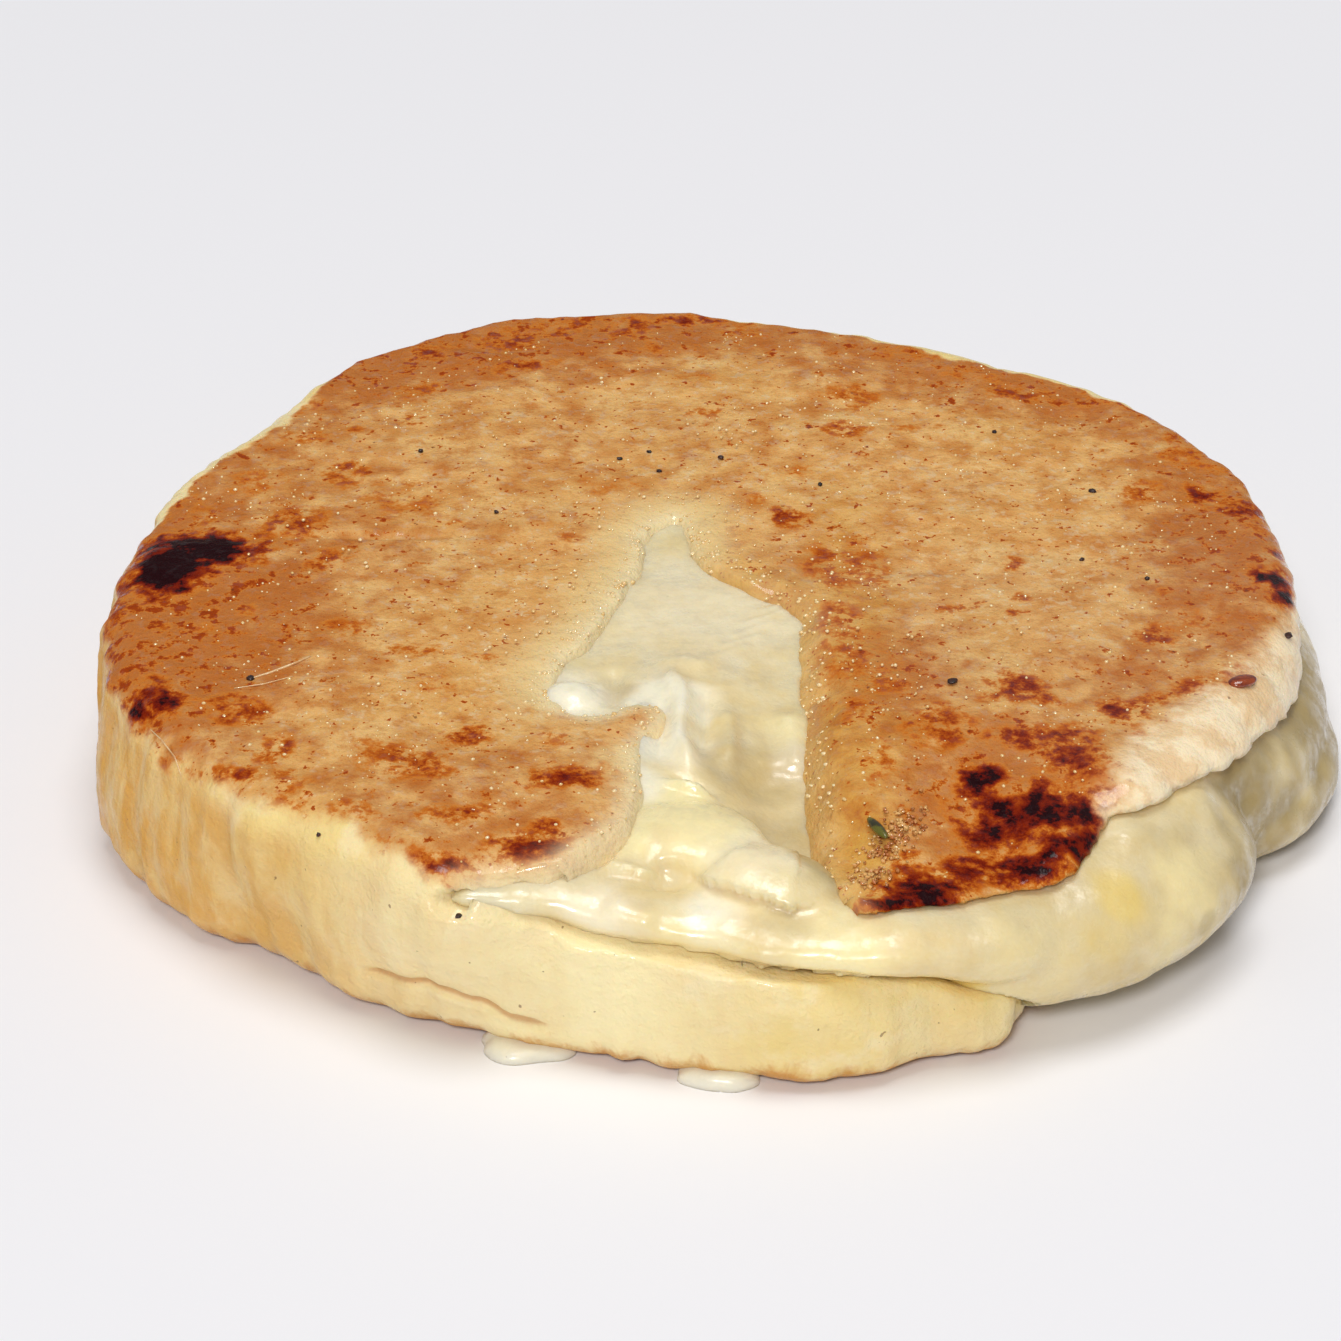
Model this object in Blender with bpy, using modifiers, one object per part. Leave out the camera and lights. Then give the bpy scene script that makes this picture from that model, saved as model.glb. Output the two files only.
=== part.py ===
"""Cheese-filled arepa: one griddled corn cake, slit round its front and right side and torn open on
top, with a melted cheese filling that wells out of the tear and sags from the slit, and two small
drips of cheese at its foot.

Metres, +Z up. The cake stands on its flat base. Angles are in degrees about the cake's own centre,
0 towards +X and -90 towards the front (-Y)."""

import math

import bmesh
import bpy
from mathutils import Matrix, Vector

# Driving dimensions.
CAKE_RADIUS = 0.0575
CAKE_HEIGHT = 0.0200
GAP = 0.0007  # air left between the filling and the dough
DRIP_GAP = 0.0003  # air left between a drip and the foot it lies against

# Where the cake's centre lies, so that the middle of the whole part's box is over the origin.
CAKE_CENTRE = Vector((-0.00161, -0.00043, 0.0))

# The cake's turned form, as shares of its radius or its height.
DOME = 0.03  # rise of the middle of the top over its edge
FOOT_ROUND = 0.20  # radius of the rounded edge under the wall
CAKE_SIDES = 84
CAKE_RINGS = 26
# Where along the turned profile each stretch ends, from the middle of the top to that of the base.
FACE_END, SHOULDER_END, WALL_END, FOOT_END = 0.38, 0.58, 0.73, 0.88

# Hand-shaped outlines: (angle, value) pairs, as shares of the radius or the height.
TOP_REACH = (
    (-180, 0.985), (-160, 1.02), (-140, 1.00), (-125, 1.00), (-112, 1.01), (-104, 0.955),
    (-92, 0.97), (-78, 0.985), (-68, 1.03), (-58, 1.045), (-50, 0.99), (-40, 1.00), (-25, 1.00),
    (-10, 1.005), (10, 1.01), (25, 1.02), (45, 1.005), (60, 0.975), (75, 0.985), (95, 1.04),
    (112, 1.065), (125, 1.04), (145, 0.965), (162, 0.975), (180, 0.985),
)
LOW_REACH = (
    (-180, 0.995), (-160, 1.04), (-147, 1.02), (-135, 0.96), (-124, 0.975), (-113, 0.955),
    (-104, 0.965), (-90, 1.00), (-78, 1.045), (-71, 1.03), (-64, 1.04), (-57, 0.96), (-48, 0.84),
    (20, 0.84), (40, 0.92), (60, 0.97), (90, 1.01), (120, 1.01), (150, 0.97), (180, 0.995),
)
SHOULDER = (
    (-180, 0.10), (-130, 0.08), (-115, 0.10), (-100, 0.10), (-70, 0.14), (-52, 0.22), (-40, 0.28),
    (-20, 0.24), (0, 0.16), (40, 0.10), (120, 0.09), (150, 0.10), (180, 0.10),
)
DROOP = ((-180, 0.02), (-120, 0.02), (-110, 0.08), (-98, 0.0), (-80, 0.06), (-70, 0.15),
         (-60, 0.20), (-52, 0.12), (-42, 0.02), (0, 0.0), (180, 0.02))
# Height of the lower lip and of the upper lip of the slit, and how far the cheese reaches out of it.
LOWER_LIP = (
    (-112, 0.86), (-106, 0.80), (-99, 0.73), (-95, 0.68), (-87, 0.62), (-79, 0.56), (-72, 0.50),
    (-65, 0.37), (-57, 0.20), (-45, 0.14), (-30, 0.12), (-10, 0.04), (15, 0.05), (30, 0.20),
    (44, 0.45),
)
UPPER_LIP = (
    (-112, 0.88), (-106, 0.92), (-98, 0.94), (-80, 0.90), (-70, 0.77), (-58, 0.71), (-52, 0.78),
    (-46, 0.87), (-38, 0.86), (-28, 0.81), (-14, 0.73), (0, 0.70), (20, 0.68), (44, 0.52),
)
CHEESE_REACH = (
    (-112, 0.97), (-106, 0.99), (-95, 1.01), (-84, 1.03), (-72, 1.06), (-64, 1.075),
    (-55, 1.07), (-46, 1.06), (-38, 1.05), (-32, 1.01), (-26, 1.02), (-16, 1.05), (-4, 1.06),
    (8, 1.06), (20, 1.05), (32, 0.99), (44, 0.88),
)
SLIT_FROM, SLIT_TO = -112, 44

# The tear in the top, as the points of its edge from its tip: first the left side, then the right.
TEAR_LEFT = (
    (-0.035, 0.215), (-0.11, 0.17), (-0.12, -0.01), (-0.165, -0.12), (-0.215, -0.23),
    (-0.26, -0.35), (-0.235, -0.455), (-0.15, -0.45), (-0.095, -0.405), (-0.06, -0.46),
    (-0.10, -0.54), (-0.12, -0.64), (-0.135, -0.80), (-0.145, -0.95), (-0.16, -1.14),
)
TEAR_RIGHT = (
    (0.27, -1.14), (0.24, -0.965), (0.205, -0.89), (0.175, -0.78), (0.155, -0.60),
    (0.15, -0.41), (0.15, -0.22), (0.165, -0.115), (0.10, -0.045), (0.02, 0.005), (-0.015, 0.11),
)
TEAR_FLOOR, TEAR_TOP = 0.72, 1.25
TEAR_EASE = 0.0006  # how much wider the tear is than the cheese that fills it
# The low mound that bounds the cheese in the tear: half sizes and height of its middle.
MOUND = (1.0, 1.0, 0.52)
MOUND_MIDDLE, PLUG_FLOOR = 0.50, 0.66

# Rounded masses of cheese that run together: centre, then half sizes, as (x, y) shares of the
# radius and z shares of the height, and the turn about Z in degrees.
CHEESE_MASSES = {
    "middle of the filling": ((0.06, -0.05, 0.51), (0.86, 0.86, 0.36), 0),
    "big bulge": ((0.595, -0.635, 0.44), (0.36, 0.235, 0.40), 45),
    "bulge behind it": ((0.84, -0.10, 0.24), (0.34, 0.235, 0.36), 90),
    "white blob": ((-0.19, -0.37, 0.78), (0.055, 0.075, 0.25), 0),
    "stretched fold": ((-0.03, -0.53, 0.76), (0.055, 0.13, 0.27), 0),
    "upper fold": ((0.0, -0.71, 0.70), (0.125, 0.10, 0.24), -8),
    "left fold": ((-0.05, -0.85, 0.62), (0.085, 0.08, 0.24), -12),
    "right fold": ((0.085, -0.87, 0.60), (0.125, 0.08, 0.24), -8),
}
CHEESE_LIFT = 0.0004  # the sagging cheese is kept this far above the table
CHEESE_VOXEL = 0.0009
CHEESE_SMOOTHING = 5
CHEESE_TRIANGLES = 2400

# Drips on the table: (x, y) shares of the radius for the centre, half sizes in metres.
DRIPS = {
    "cheese_drip_left": ((-0.268, -0.850), (0.0054, 0.0036, 0.0034)),
    "cheese_drip_front": ((0.025, -0.950), (0.0044, 0.0036, 0.0030)),
}


def share_at(stations, angle):
    """The value at an angle of a row of (angle, value) pairs, eased from each to the next."""
    angle = (angle + 180) % 360 - 180
    if angle <= stations[0][0]:
        return stations[0][1]
    for (a0, v0), (a1, v1) in zip(stations, stations[1:]):
        if angle <= a1:
            t = (angle - a0) / (a1 - a0)
            t = t * t * (3 - 2 * t)
            return v0 + (v1 - v0) * t
    return stations[-1][1]


def eased(value, low, high):
    t = min(1.0, max(0.0, (value - low) / (high - low)))
    return t * t * (3 - 2 * t)


def cake_profile(station, angle):
    """(radius, height) on the cake's skin at a station from 0, top middle, to 1, base middle."""
    top = CAKE_RADIUS * share_at(TOP_REACH, angle)
    low = CAKE_RADIUS * share_at(LOW_REACH, angle)
    shoulder = CAKE_HEIGHT * share_at(SHOULDER, angle)
    droop = CAKE_HEIGHT * share_at(DROOP, angle)
    foot = CAKE_HEIGHT * FOOT_ROUND
    edge = top - shoulder
    if station < FACE_END:
        radius = edge * station / FACE_END
        out = radius / CAKE_RADIUS
        rise = DOME * CAKE_HEIGHT * max(0.0, 1 - out * out)
        return radius, CAKE_HEIGHT + rise - droop * eased(out, 0.62, 0.98)
    rim = CAKE_HEIGHT - droop * eased(edge / CAKE_RADIUS, 0.62, 0.98)
    if station < SHOULDER_END:
        turn = math.radians(90) * (station - FACE_END) / (SHOULDER_END - FACE_END)
        return edge + shoulder * math.sin(turn), rim - shoulder * (1 - math.cos(turn))
    if station < WALL_END:
        t = (station - SHOULDER_END) / (WALL_END - SHOULDER_END)
        belly = 0.010 * CAKE_RADIUS * math.sin(math.pi * t)
        return (
            top + (low - top) * eased(t, 0, 1) + belly,
            (rim - shoulder) + (foot - rim + shoulder) * t,
        )
    if station < FOOT_END:
        turn = math.radians(90) * (station - WALL_END) / (FOOT_END - WALL_END)
        return low - foot * (1 - math.cos(turn)), foot * (1 - math.sin(turn))
    t = (station - FOOT_END) / (1 - FOOT_END)
    return (low - foot) * (1 - t), 0.0


def new_object(name, mesh, collection):
    thing = bpy.data.objects.new(name, mesh)
    collection.objects.link(thing)
    return thing


def mesh_from(bm, name):
    bmesh.ops.recalc_face_normals(bm, faces=bm.faces)
    mesh = bpy.data.meshes.new(name)
    bm.to_mesh(mesh)
    bm.free()
    return mesh


def cake_puck(collection):
    """The whole cake before it is slit: a UV sphere whose rings are laid along the profile."""
    bm = bmesh.new()
    bmesh.ops.create_uvsphere(bm, u_segments=CAKE_SIDES, v_segments=CAKE_RINGS, radius=1)
    for vert in bm.verts:
        x, y, z = vert.co
        station = 0.5 - math.asin(max(-1.0, min(1.0, z))) / math.pi
        turn = math.atan2(y, x)
        radius, height = cake_profile(station, math.degrees(turn))
        vert.co = (radius * math.cos(turn), radius * math.sin(turn), height)
    return new_object("corn_cake", mesh_from(bm, "corn_cake"), collection)


def tear_prism(name, low, high, widen, collection):
    """The tear's outline, rounded through its points, widened and made as thick as asked."""
    curve = bpy.data.curves.new(name, "CURVE")
    curve.dimensions = "2D"
    curve.fill_mode = "BOTH"
    curve.extrude = (high - low) * CAKE_HEIGHT / 2
    curve.resolution_u = 3
    curve.offset = widen
    points = TEAR_LEFT + TEAR_RIGHT
    spline = curve.splines.new("BEZIER")
    spline.bezier_points.add(len(points) - 1)
    for knot, (x, y) in zip(spline.bezier_points, points):
        knot.co = (x * CAKE_RADIUS, y * CAKE_RADIUS, 0)
        knot.handle_left_type = knot.handle_right_type = "AUTO"
    spline.use_cyclic_u = True
    thing = new_object(name, curve, collection)
    thing.location.z = (high + low) / 2 * CAKE_HEIGHT
    return solid_mesh(thing)


def drop_crumbs(bm):
    """Keeps only the largest body that edges hold together, so a cut leaves no loose flakes."""
    left = set(bm.faces)
    largest = set()
    while left:
        body = {left.pop()}
        front = list(body)
        while front:
            edges = [edge for edge in front.pop().edges if len(edge.link_faces) == 2]
            for face in (face for edge in edges for face in edge.link_faces):
                if face not in body:
                    body.add(face)
                    front.append(face)
        left -= body
        if len(body) > len(largest):
            largest = body
    crumbs = [face for face in bm.faces if face not in largest]
    bmesh.ops.delete(bm, geom=crumbs, context="FACES")


def solid_mesh(thing):
    """Makes an object's evaluated shape a plain mesh, with its caps welded and its place kept."""
    bpy.context.view_layer.update()
    evaluated = thing.evaluated_get(bpy.context.evaluated_depsgraph_get())
    mesh = bpy.data.meshes.new_from_object(evaluated)
    mesh.transform(thing.matrix_world)
    bm = bmesh.new()
    bm.from_mesh(mesh)
    bmesh.ops.remove_doubles(bm, verts=bm.verts, dist=1e-6)
    bmesh.ops.triangulate(bm, faces=bm.faces)
    drop_crumbs(bm)
    bmesh.ops.recalc_face_normals(bm, faces=bm.faces)
    bm.to_mesh(mesh)
    bm.free()
    name, homes = thing.name, list(thing.users_collection)
    bpy.data.objects.remove(thing)
    made = bpy.data.objects.new(name, mesh)
    for home in homes:
        home.objects.link(made)
    return made


def rim_of_cheese(bm):
    """The cheese that shows along the slit: a tube bent round the rim, as tall as the slit is open
    and reaching as far out as the cheese has sagged."""
    made = bmesh.ops.create_cone(
        bm, cap_ends=True, segments=20, radius1=1, radius2=1, depth=1
    )
    lengthwise = [
        e for v in made["verts"] for e in v.link_edges
        if abs(e.verts[0].co.z - e.verts[1].co.z) > 0.5
    ]
    made = bmesh.ops.subdivide_edges(bm, edges=list(set(lengthwise)), cuts=60)
    inner = CAKE_RADIUS * 0.70
    for vert in bm.verts:
        along = vert.co.z + 0.5
        angle = SLIT_FROM + 2 + (SLIT_TO - SLIT_FROM - 4) * along
        low = CAKE_HEIGHT * share_at(LOWER_LIP, angle)
        high = CAKE_HEIGHT * share_at(UPPER_LIP, angle)
        outer = CAKE_RADIUS * share_at(CHEESE_REACH, angle)
        radius = (outer + inner) / 2 + (outer - inner) / 2 * vert.co.x
        height = (low + high) / 2 + (high - low) / 2 * vert.co.y
        turn = math.radians(angle)
        vert.co = (radius * math.cos(turn), radius * math.sin(turn), height)


def tear_plug(collection):
    """The cheese standing in the tear: what the tear's outline and a low mound have in common."""
    bm = bmesh.new()
    size = [half * span for half, span in zip(MOUND, (CAKE_RADIUS, CAKE_RADIUS, CAKE_HEIGHT))]
    place = Matrix.LocRotScale(Vector((0, 0, MOUND_MIDDLE * CAKE_HEIGHT)), None, size)
    bmesh.ops.create_uvsphere(bm, u_segments=64, v_segments=40, radius=1, matrix=place)
    mound = new_object("mound", mesh_from(bm, "mound"), collection)
    plug = tear_prism("tear_plug", PLUG_FLOOR, TEAR_TOP, 0.0, collection)
    common = plug.modifiers.new("within the mound", "BOOLEAN")
    common.operation = "INTERSECT"
    common.solver = "EXACT"
    common.object = mound
    plug = solid_mesh(plug)
    bpy.data.objects.remove(mound)
    return plug


def voxel_skin(thing):
    remesh = thing.modifiers.new("one skin", "REMESH")
    remesh.mode = "VOXEL"
    remesh.voxel_size = CHEESE_VOXEL


def cheese_skin(name, swell, collection):
    """Every mass of cheese run together: joined, remeshed into one skin, smoothed, moved out by the
    swell asked for, and thinned."""
    bm = bmesh.new()
    rim_of_cheese(bm)
    for centre, half, turn in CHEESE_MASSES.values():
        spot = Vector((centre[0] * CAKE_RADIUS, centre[1] * CAKE_RADIUS, centre[2] * CAKE_HEIGHT))
        size = (half[0] * CAKE_RADIUS, half[1] * CAKE_RADIUS, half[2] * CAKE_HEIGHT)
        place = Matrix.LocRotScale(spot, Matrix.Rotation(math.radians(turn), 3, "Z"), size)
        bmesh.ops.create_uvsphere(bm, u_segments=40, v_segments=24, radius=1, matrix=place)
    for vert in bm.verts:
        vert.co.z = max(vert.co.z, CHEESE_LIFT)
    plug = tear_plug(collection)
    bm.from_mesh(plug.data)
    bpy.data.objects.remove(plug)
    thing = new_object(name, mesh_from(bm, name), collection)
    voxel_skin(thing)
    smooth = thing.modifiers.new("melted", "SMOOTH")
    smooth.iterations = CHEESE_SMOOTHING
    if swell:
        swelling = thing.modifiers.new("swelling", "DISPLACE")
        swelling.mid_level = 0
        swelling.strength = swell
        voxel_skin(thing)
    thing = solid_mesh(thing)
    thin = thing.modifiers.new("fewer faces", "DECIMATE")
    thin.ratio = CHEESE_TRIANGLES / len(thing.data.polygons)
    return solid_mesh(thing)


def cut(thing, cutters):
    for cutter in cutters:
        cutter.hide_render = True
        cutter.display_type = "WIRE"
        modifier = thing.modifiers.new(cutter.name, "BOOLEAN")
        modifier.operation = "DIFFERENCE"
        modifier.solver = "EXACT"
        modifier.object = cutter


def drip(name, place, half, foot, collection):
    """A small flattened pool on the table, cut to the rounded foot it lies against."""
    bm = bmesh.new()
    bmesh.ops.create_uvsphere(bm, u_segments=20, v_segments=12, radius=1)
    below = [vert for vert in bm.verts if vert.co.z < -0.01]
    bmesh.ops.delete(bm, geom=below, context="VERTS")
    rim = [edge for edge in bm.edges if edge.is_boundary]
    bmesh.ops.contextual_create(bm, geom=rim)
    for vert in bm.verts:
        vert.co = (
            place[0] * CAKE_RADIUS + half[0] * vert.co.x,
            place[1] * CAKE_RADIUS + half[1] * vert.co.y,
            half[2] * max(0.0, vert.co.z),
        )
    pool = new_object(name, mesh_from(bm, name), collection)
    cut(pool, [foot])
    return solid_mesh(pool)


def material(name, colour, roughness):
    made = bpy.data.materials.new(name)
    made.use_nodes = True
    shader = made.node_tree.nodes["Principled BSDF"]
    shader.inputs["Base Color"].default_value = (*colour, 1)
    shader.inputs["Roughness"].default_value = roughness
    shader.inputs["Metallic"].default_value = 0.0
    return made


def main():
    for thing in list(bpy.data.objects):
        bpy.data.objects.remove(thing)
    parts = bpy.data.collections.new("arepa")
    cutters = bpy.data.collections.new("cutters")
    for collection in (parts, cutters):
        bpy.context.scene.collection.children.link(collection)

    cheese = cheese_skin("cheese_filling", 0.0, parts)
    cake = cake_puck(parts)
    foot = new_object("foot_cutter", cake.data.copy(), cutters)
    swell = 1 + DRIP_GAP / CAKE_RADIUS
    foot.data.transform(Matrix.Diagonal((swell, swell, 1, 1)))
    foot.data.transform(Matrix.Translation((0, 0, -DRIP_GAP)))
    drips = [drip(name, place, half, foot, parts) for name, (place, half) in DRIPS.items()]
    cut(cake, [
        tear_prism("tear_cutter", TEAR_FLOOR, TEAR_TOP, TEAR_EASE, cutters),
        cheese_skin("filling_room", GAP, cutters),
    ])
    cake = solid_mesh(cake)

    crust = material("crust", (0.62, 0.36, 0.13), 0.5)
    melted = material("melted_cheese", (0.86, 0.74, 0.46), 0.3)
    for thing in (cake, cheese, *drips):
        thing.data.materials.clear()
        thing.data.materials.append(crust if thing is cake else melted)
    for thing in bpy.data.objects:
        thing.data.transform(Matrix.Translation(CAKE_CENTRE))


main()
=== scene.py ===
# %% [markdown]
# # An arepa with melted cheese
#
# An arepa is a thick round cake of corn dough, browned on a griddle. This one was filled with
# white cheese: the cake has split along its side, the top has torn open, and the cheese has run
# out.
#
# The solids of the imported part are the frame: they say where everything is and how big. The looks
# are made here, one piece at a time: the dough, the cheese, the drips at the foot, then the small
# things that make food look like food, such as crumbs, charred flakes and beads of fat.

# %% The frame and the tools
import math
import random

import bmesh
import bpy
import numpy as np
from mathutils import Matrix, Vector


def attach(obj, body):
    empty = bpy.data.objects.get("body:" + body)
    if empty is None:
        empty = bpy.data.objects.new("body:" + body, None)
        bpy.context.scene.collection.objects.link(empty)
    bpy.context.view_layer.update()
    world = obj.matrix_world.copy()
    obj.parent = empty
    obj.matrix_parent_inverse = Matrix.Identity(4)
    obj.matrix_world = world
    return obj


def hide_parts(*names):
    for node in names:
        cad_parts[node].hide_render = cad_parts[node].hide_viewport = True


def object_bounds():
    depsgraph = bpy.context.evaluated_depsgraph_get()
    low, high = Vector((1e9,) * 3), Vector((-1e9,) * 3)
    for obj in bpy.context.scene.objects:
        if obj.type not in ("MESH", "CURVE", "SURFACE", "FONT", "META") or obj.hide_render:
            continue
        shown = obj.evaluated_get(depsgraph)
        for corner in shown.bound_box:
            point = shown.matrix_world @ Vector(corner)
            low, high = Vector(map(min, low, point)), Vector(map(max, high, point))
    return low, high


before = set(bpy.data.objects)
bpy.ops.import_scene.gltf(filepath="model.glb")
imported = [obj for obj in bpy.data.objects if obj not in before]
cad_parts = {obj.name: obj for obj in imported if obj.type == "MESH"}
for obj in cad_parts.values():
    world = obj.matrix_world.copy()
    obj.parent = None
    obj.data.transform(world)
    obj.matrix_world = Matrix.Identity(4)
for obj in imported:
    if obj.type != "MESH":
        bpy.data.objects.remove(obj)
cad_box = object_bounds()
print("the part's box in metres:", [[round(v, 4) for v in corner] for corner in cad_box])

# %% [markdown]
# ## Measures
#
# Shaping is easier to read in millimetres about the cake's own middle, so every piece is made
# that way and moved to its place in metres at the end. The cake's middle isn't quite the middle
# of the whole part, because the cheese bulges out on one side.

# %% Measures
RADIUS = 57.5
HEIGHT = 20.0
MIDDLE = Vector((-0.00161, -0.00043, 0.0))
EASE = 0.15  # how far inside the part's box everything stays


def into_place(mesh):
    """Millimetres about the cake's middle become metres in the part's frame."""
    mesh.transform(Matrix.Translation(MIDDLE) @ Matrix.Scale(0.001, 4))


def mesh_from(bm, name):
    """A mesh of the shape built so far, which is then let go."""
    mesh = bpy.data.meshes.new(name)
    bm.to_mesh(mesh)
    bm.free()
    return mesh


def shown(name, data):
    """A new object in the scene, at the origin."""
    thing = bpy.data.objects.new(name, data)
    bpy.context.scene.collection.objects.link(thing)
    return thing


def placed(place, turn_deg, spans):
    """The matrix that stretches, turns and moves a shape of size one."""
    turned = Matrix.Rotation(math.radians(turn_deg), 3, "Z")
    return Matrix.LocRotScale(Vector(place), turned, Vector(spans))


def ringed_tube(bm, sides, cuts):
    """An upright tube, 1 tall, cut into rings that can be put along a path."""
    made = bmesh.ops.create_cone(bm, cap_ends=True, segments=sides, radius1=1, radius2=1, depth=1)
    rails = {e for v in made["verts"] for e in v.link_edges
             if abs(e.verts[0].co.z - e.verts[1].co.z) > 0.5}
    bmesh.ops.subdivide_edges(bm, edges=list(rails), cuts=cuts)


def eased(value, low, high):
    t = np.clip((value - low) / (high - low), 0, 1)
    return t * t * (3 - 2 * t)


def along(stations, angle):
    """The value at each angle of a row of (angle, value) pairs, eased from one to the next."""
    angles, values = np.array(stations, float).T
    angle = (np.asarray(angle, float) + 180) % 360 - 180
    i = np.clip(np.searchsorted(angles, angle, side="right") - 1, 0, len(angles) - 2)
    t = np.clip((angle - angles[i]) / (angles[i + 1] - angles[i]), 0, 1)
    return values[i] + (values[i + 1] - values[i]) * t * t * (3 - 2 * t)


DICE = np.random.default_rng(7)
SHUFFLE = DICE.permutation(256)
SLOPES = DICE.normal(size=(256, 3))
SLOPES /= np.linalg.norm(SLOPES, axis=1)[:, None]


def lumps(points, size, seed=0.0, stretch=(1, 1, 1)):
    """Smooth noise, about -1 to 1, whose lumps are of the size given: each point of a lattice has a
    random slope, and the slopes are eased into one another."""
    place = points / (np.array(stretch) * size) + seed * 17.31
    cell = np.floor(place).astype(int)
    inside = place - cell
    ease = inside ** 3 * (inside * (inside * 6 - 15) + 10)
    total = np.zeros(len(points))
    for corner in np.ndindex(2, 2, 2):
        x, y, z = ((cell + corner) % 256).T
        slope = SLOPES[SHUFFLE[(SHUFFLE[(SHUFFLE[x] + y) % 256] + z) % 256]]
        share = np.prod(np.where(corner, ease, 1 - ease), axis=1)
        total += share * np.einsum("ij,ij->i", slope, inside - corner)
    return total * 1.7


# %% [markdown]
# ## The outlines of the cake
#
# Dough is patted out by hand, so the cake is only roughly round. Each outline is a short row of
# pairs, an angle about the middle and a share of the radius or the height, as in the part's
# source: 0 degrees is the right-hand side and -90 is the front.

# %% Outlines
TOP_REACH = (
    (-180, 0.985), (-160, 1.02), (-140, 1), (-125, 1), (-112, 1.01), (-104, 0.955), (-92, 0.97),
    (-78, 0.97), (-68, 0.995), (-58, 1.005), (-50, 0.98), (-40, 1), (-25, 1), (-10, 1.005),
    (10, 1.01), (25, 1.02), (45, 1.005), (60, 0.975), (75, 0.985), (95, 1.04), (112, 1.065),
    (125, 1.04), (145, 0.965), (162, 0.975), (180, 0.985),
)
LOW_REACH = (
    (-180, 0.995), (-160, 1.04), (-147, 1.02), (-135, 0.96), (-124, 0.975), (-113, 0.955),
    (-104, 0.965), (-90, 1), (-78, 1.045), (-71, 1.03), (-64, 1.04), (-57, 0.96), (-48, 0.84),
    (20, 0.84), (40, 0.92), (60, 0.97), (90, 1.01), (120, 1.01), (150, 0.97), (180, 0.995),
)
SHOULDER = (
    (-180, 0.14), (-150, 0.2), (-125, 0.22), (-110, 0.18), (-95, 0.12), (-70, 0.12), (-54, 0.16),
    (-44, 0.3), (-20, 0.27), (0, 0.16), (40, 0.1), (120, 0.09), (150, 0.1), (180, 0.14),
)
DROOP = (
    (-180, 0.02), (-120, 0.02), (-110, 0.08), (-98, 0), (-80, 0.06), (-70, 0.15), (-60, 0.2),
    (-52, 0.12), (-42, 0.02), (0, 0), (180, 0.02),
)
LOWER_LIP = (
    (-117, 0.86), (-112, 0.77), (-106, 0.69), (-100, 0.64), (-95, 0.62), (-87, 0.585),
    (-79, 0.545), (-72, 0.49), (-65, 0.37), (-57, 0.2), (-45, 0.14), (-30, 0.12), (-10, 0.04),
    (15, 0.05), (30, 0.2), (44, 0.45),
)
UPPER_LIP = (
    (-117, 0.87), (-112, 0.87), (-106, 0.86), (-98, 0.83), (-90, 0.8), (-80, 0.78), (-72, 0.8),
    (-66, 0.78), (-58, 0.76), (-52, 0.79), (-46, 0.87), (-38, 0.86), (-28, 0.81), (-14, 0.73),
    (0, 0.7), (20, 0.68), (44, 0.52),
)
CHEESE_REACH = (
    (-116, 0.985), (-112, 0.985), (-108, 0.965), (-104, 0.942), (-98, 0.952), (-90, 0.968),
    (-84, 1.005), (-72, 1.055), (-64, 1.075), (-55, 1.07), (-46, 1.06), (-38, 1.05), (-32, 1.01),
    (-26, 1.02), (-16, 1.05), (-4, 1.06), (8, 1.06), (20, 1.05), (32, 0.99), (44, 0.88),
)
SLIT_FROM, SLIT_TO, SLIT_DEPTH = -115, 44, 7.0
DOME, FOOT_ROUND = 0.03, 0.20
FACE_END, SHOULDER_END, WALL_END, FOOT_END = 0.62, 0.68, 0.87, 0.93
DOUGH_SIDES, DOUGH_RINGS = 480, 200

# The torn edge as shares of the radius: down its left side from the tip, then down its right.
TEAR_LEFT = (
    (-0.035, 0.215), (-0.09, 0.16), (-0.1, 0.03), (-0.13, -0.08), (-0.17, -0.19), (-0.235, -0.31),
    (-0.235, -0.42), (-0.16, -0.455), (-0.11, -0.41), (-0.055, -0.42), (-0.06, -0.47),
    (-0.095, -0.53), (-0.1, -0.66), (-0.11, -0.77), (-0.15, -0.81), (-0.19, -0.84),
    (-0.21, -0.885), (-0.29, -0.9), (-0.37, -0.905), (-0.375, -0.98), (-0.4, -1.14),
)
TEAR_RIGHT = (
    (0.27, -1.14), (0.24, -0.965), (0.205, -0.89), (0.175, -0.78), (0.155, -0.6), (0.15, -0.41),
    (0.15, -0.22), (0.165, -0.115), (0.1, -0.045), (0.02, 0.005), (-0.015, 0.11),
)
TEAR = np.array(TEAR_LEFT + TEAR_RIGHT) * RADIUS

# %% [markdown]
# ## The dough
#
# The cake starts as a UV sphere with many rings. Its rings are laid along the cake's turned
# profile: flat top, rounded shoulder, wall, rounded foot, flat base. That keeps the mesh even and
# gives each point a station, from 0 in the middle of the top to 1 in the middle of the base,
# which later says what is crust and what is wall.

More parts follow.
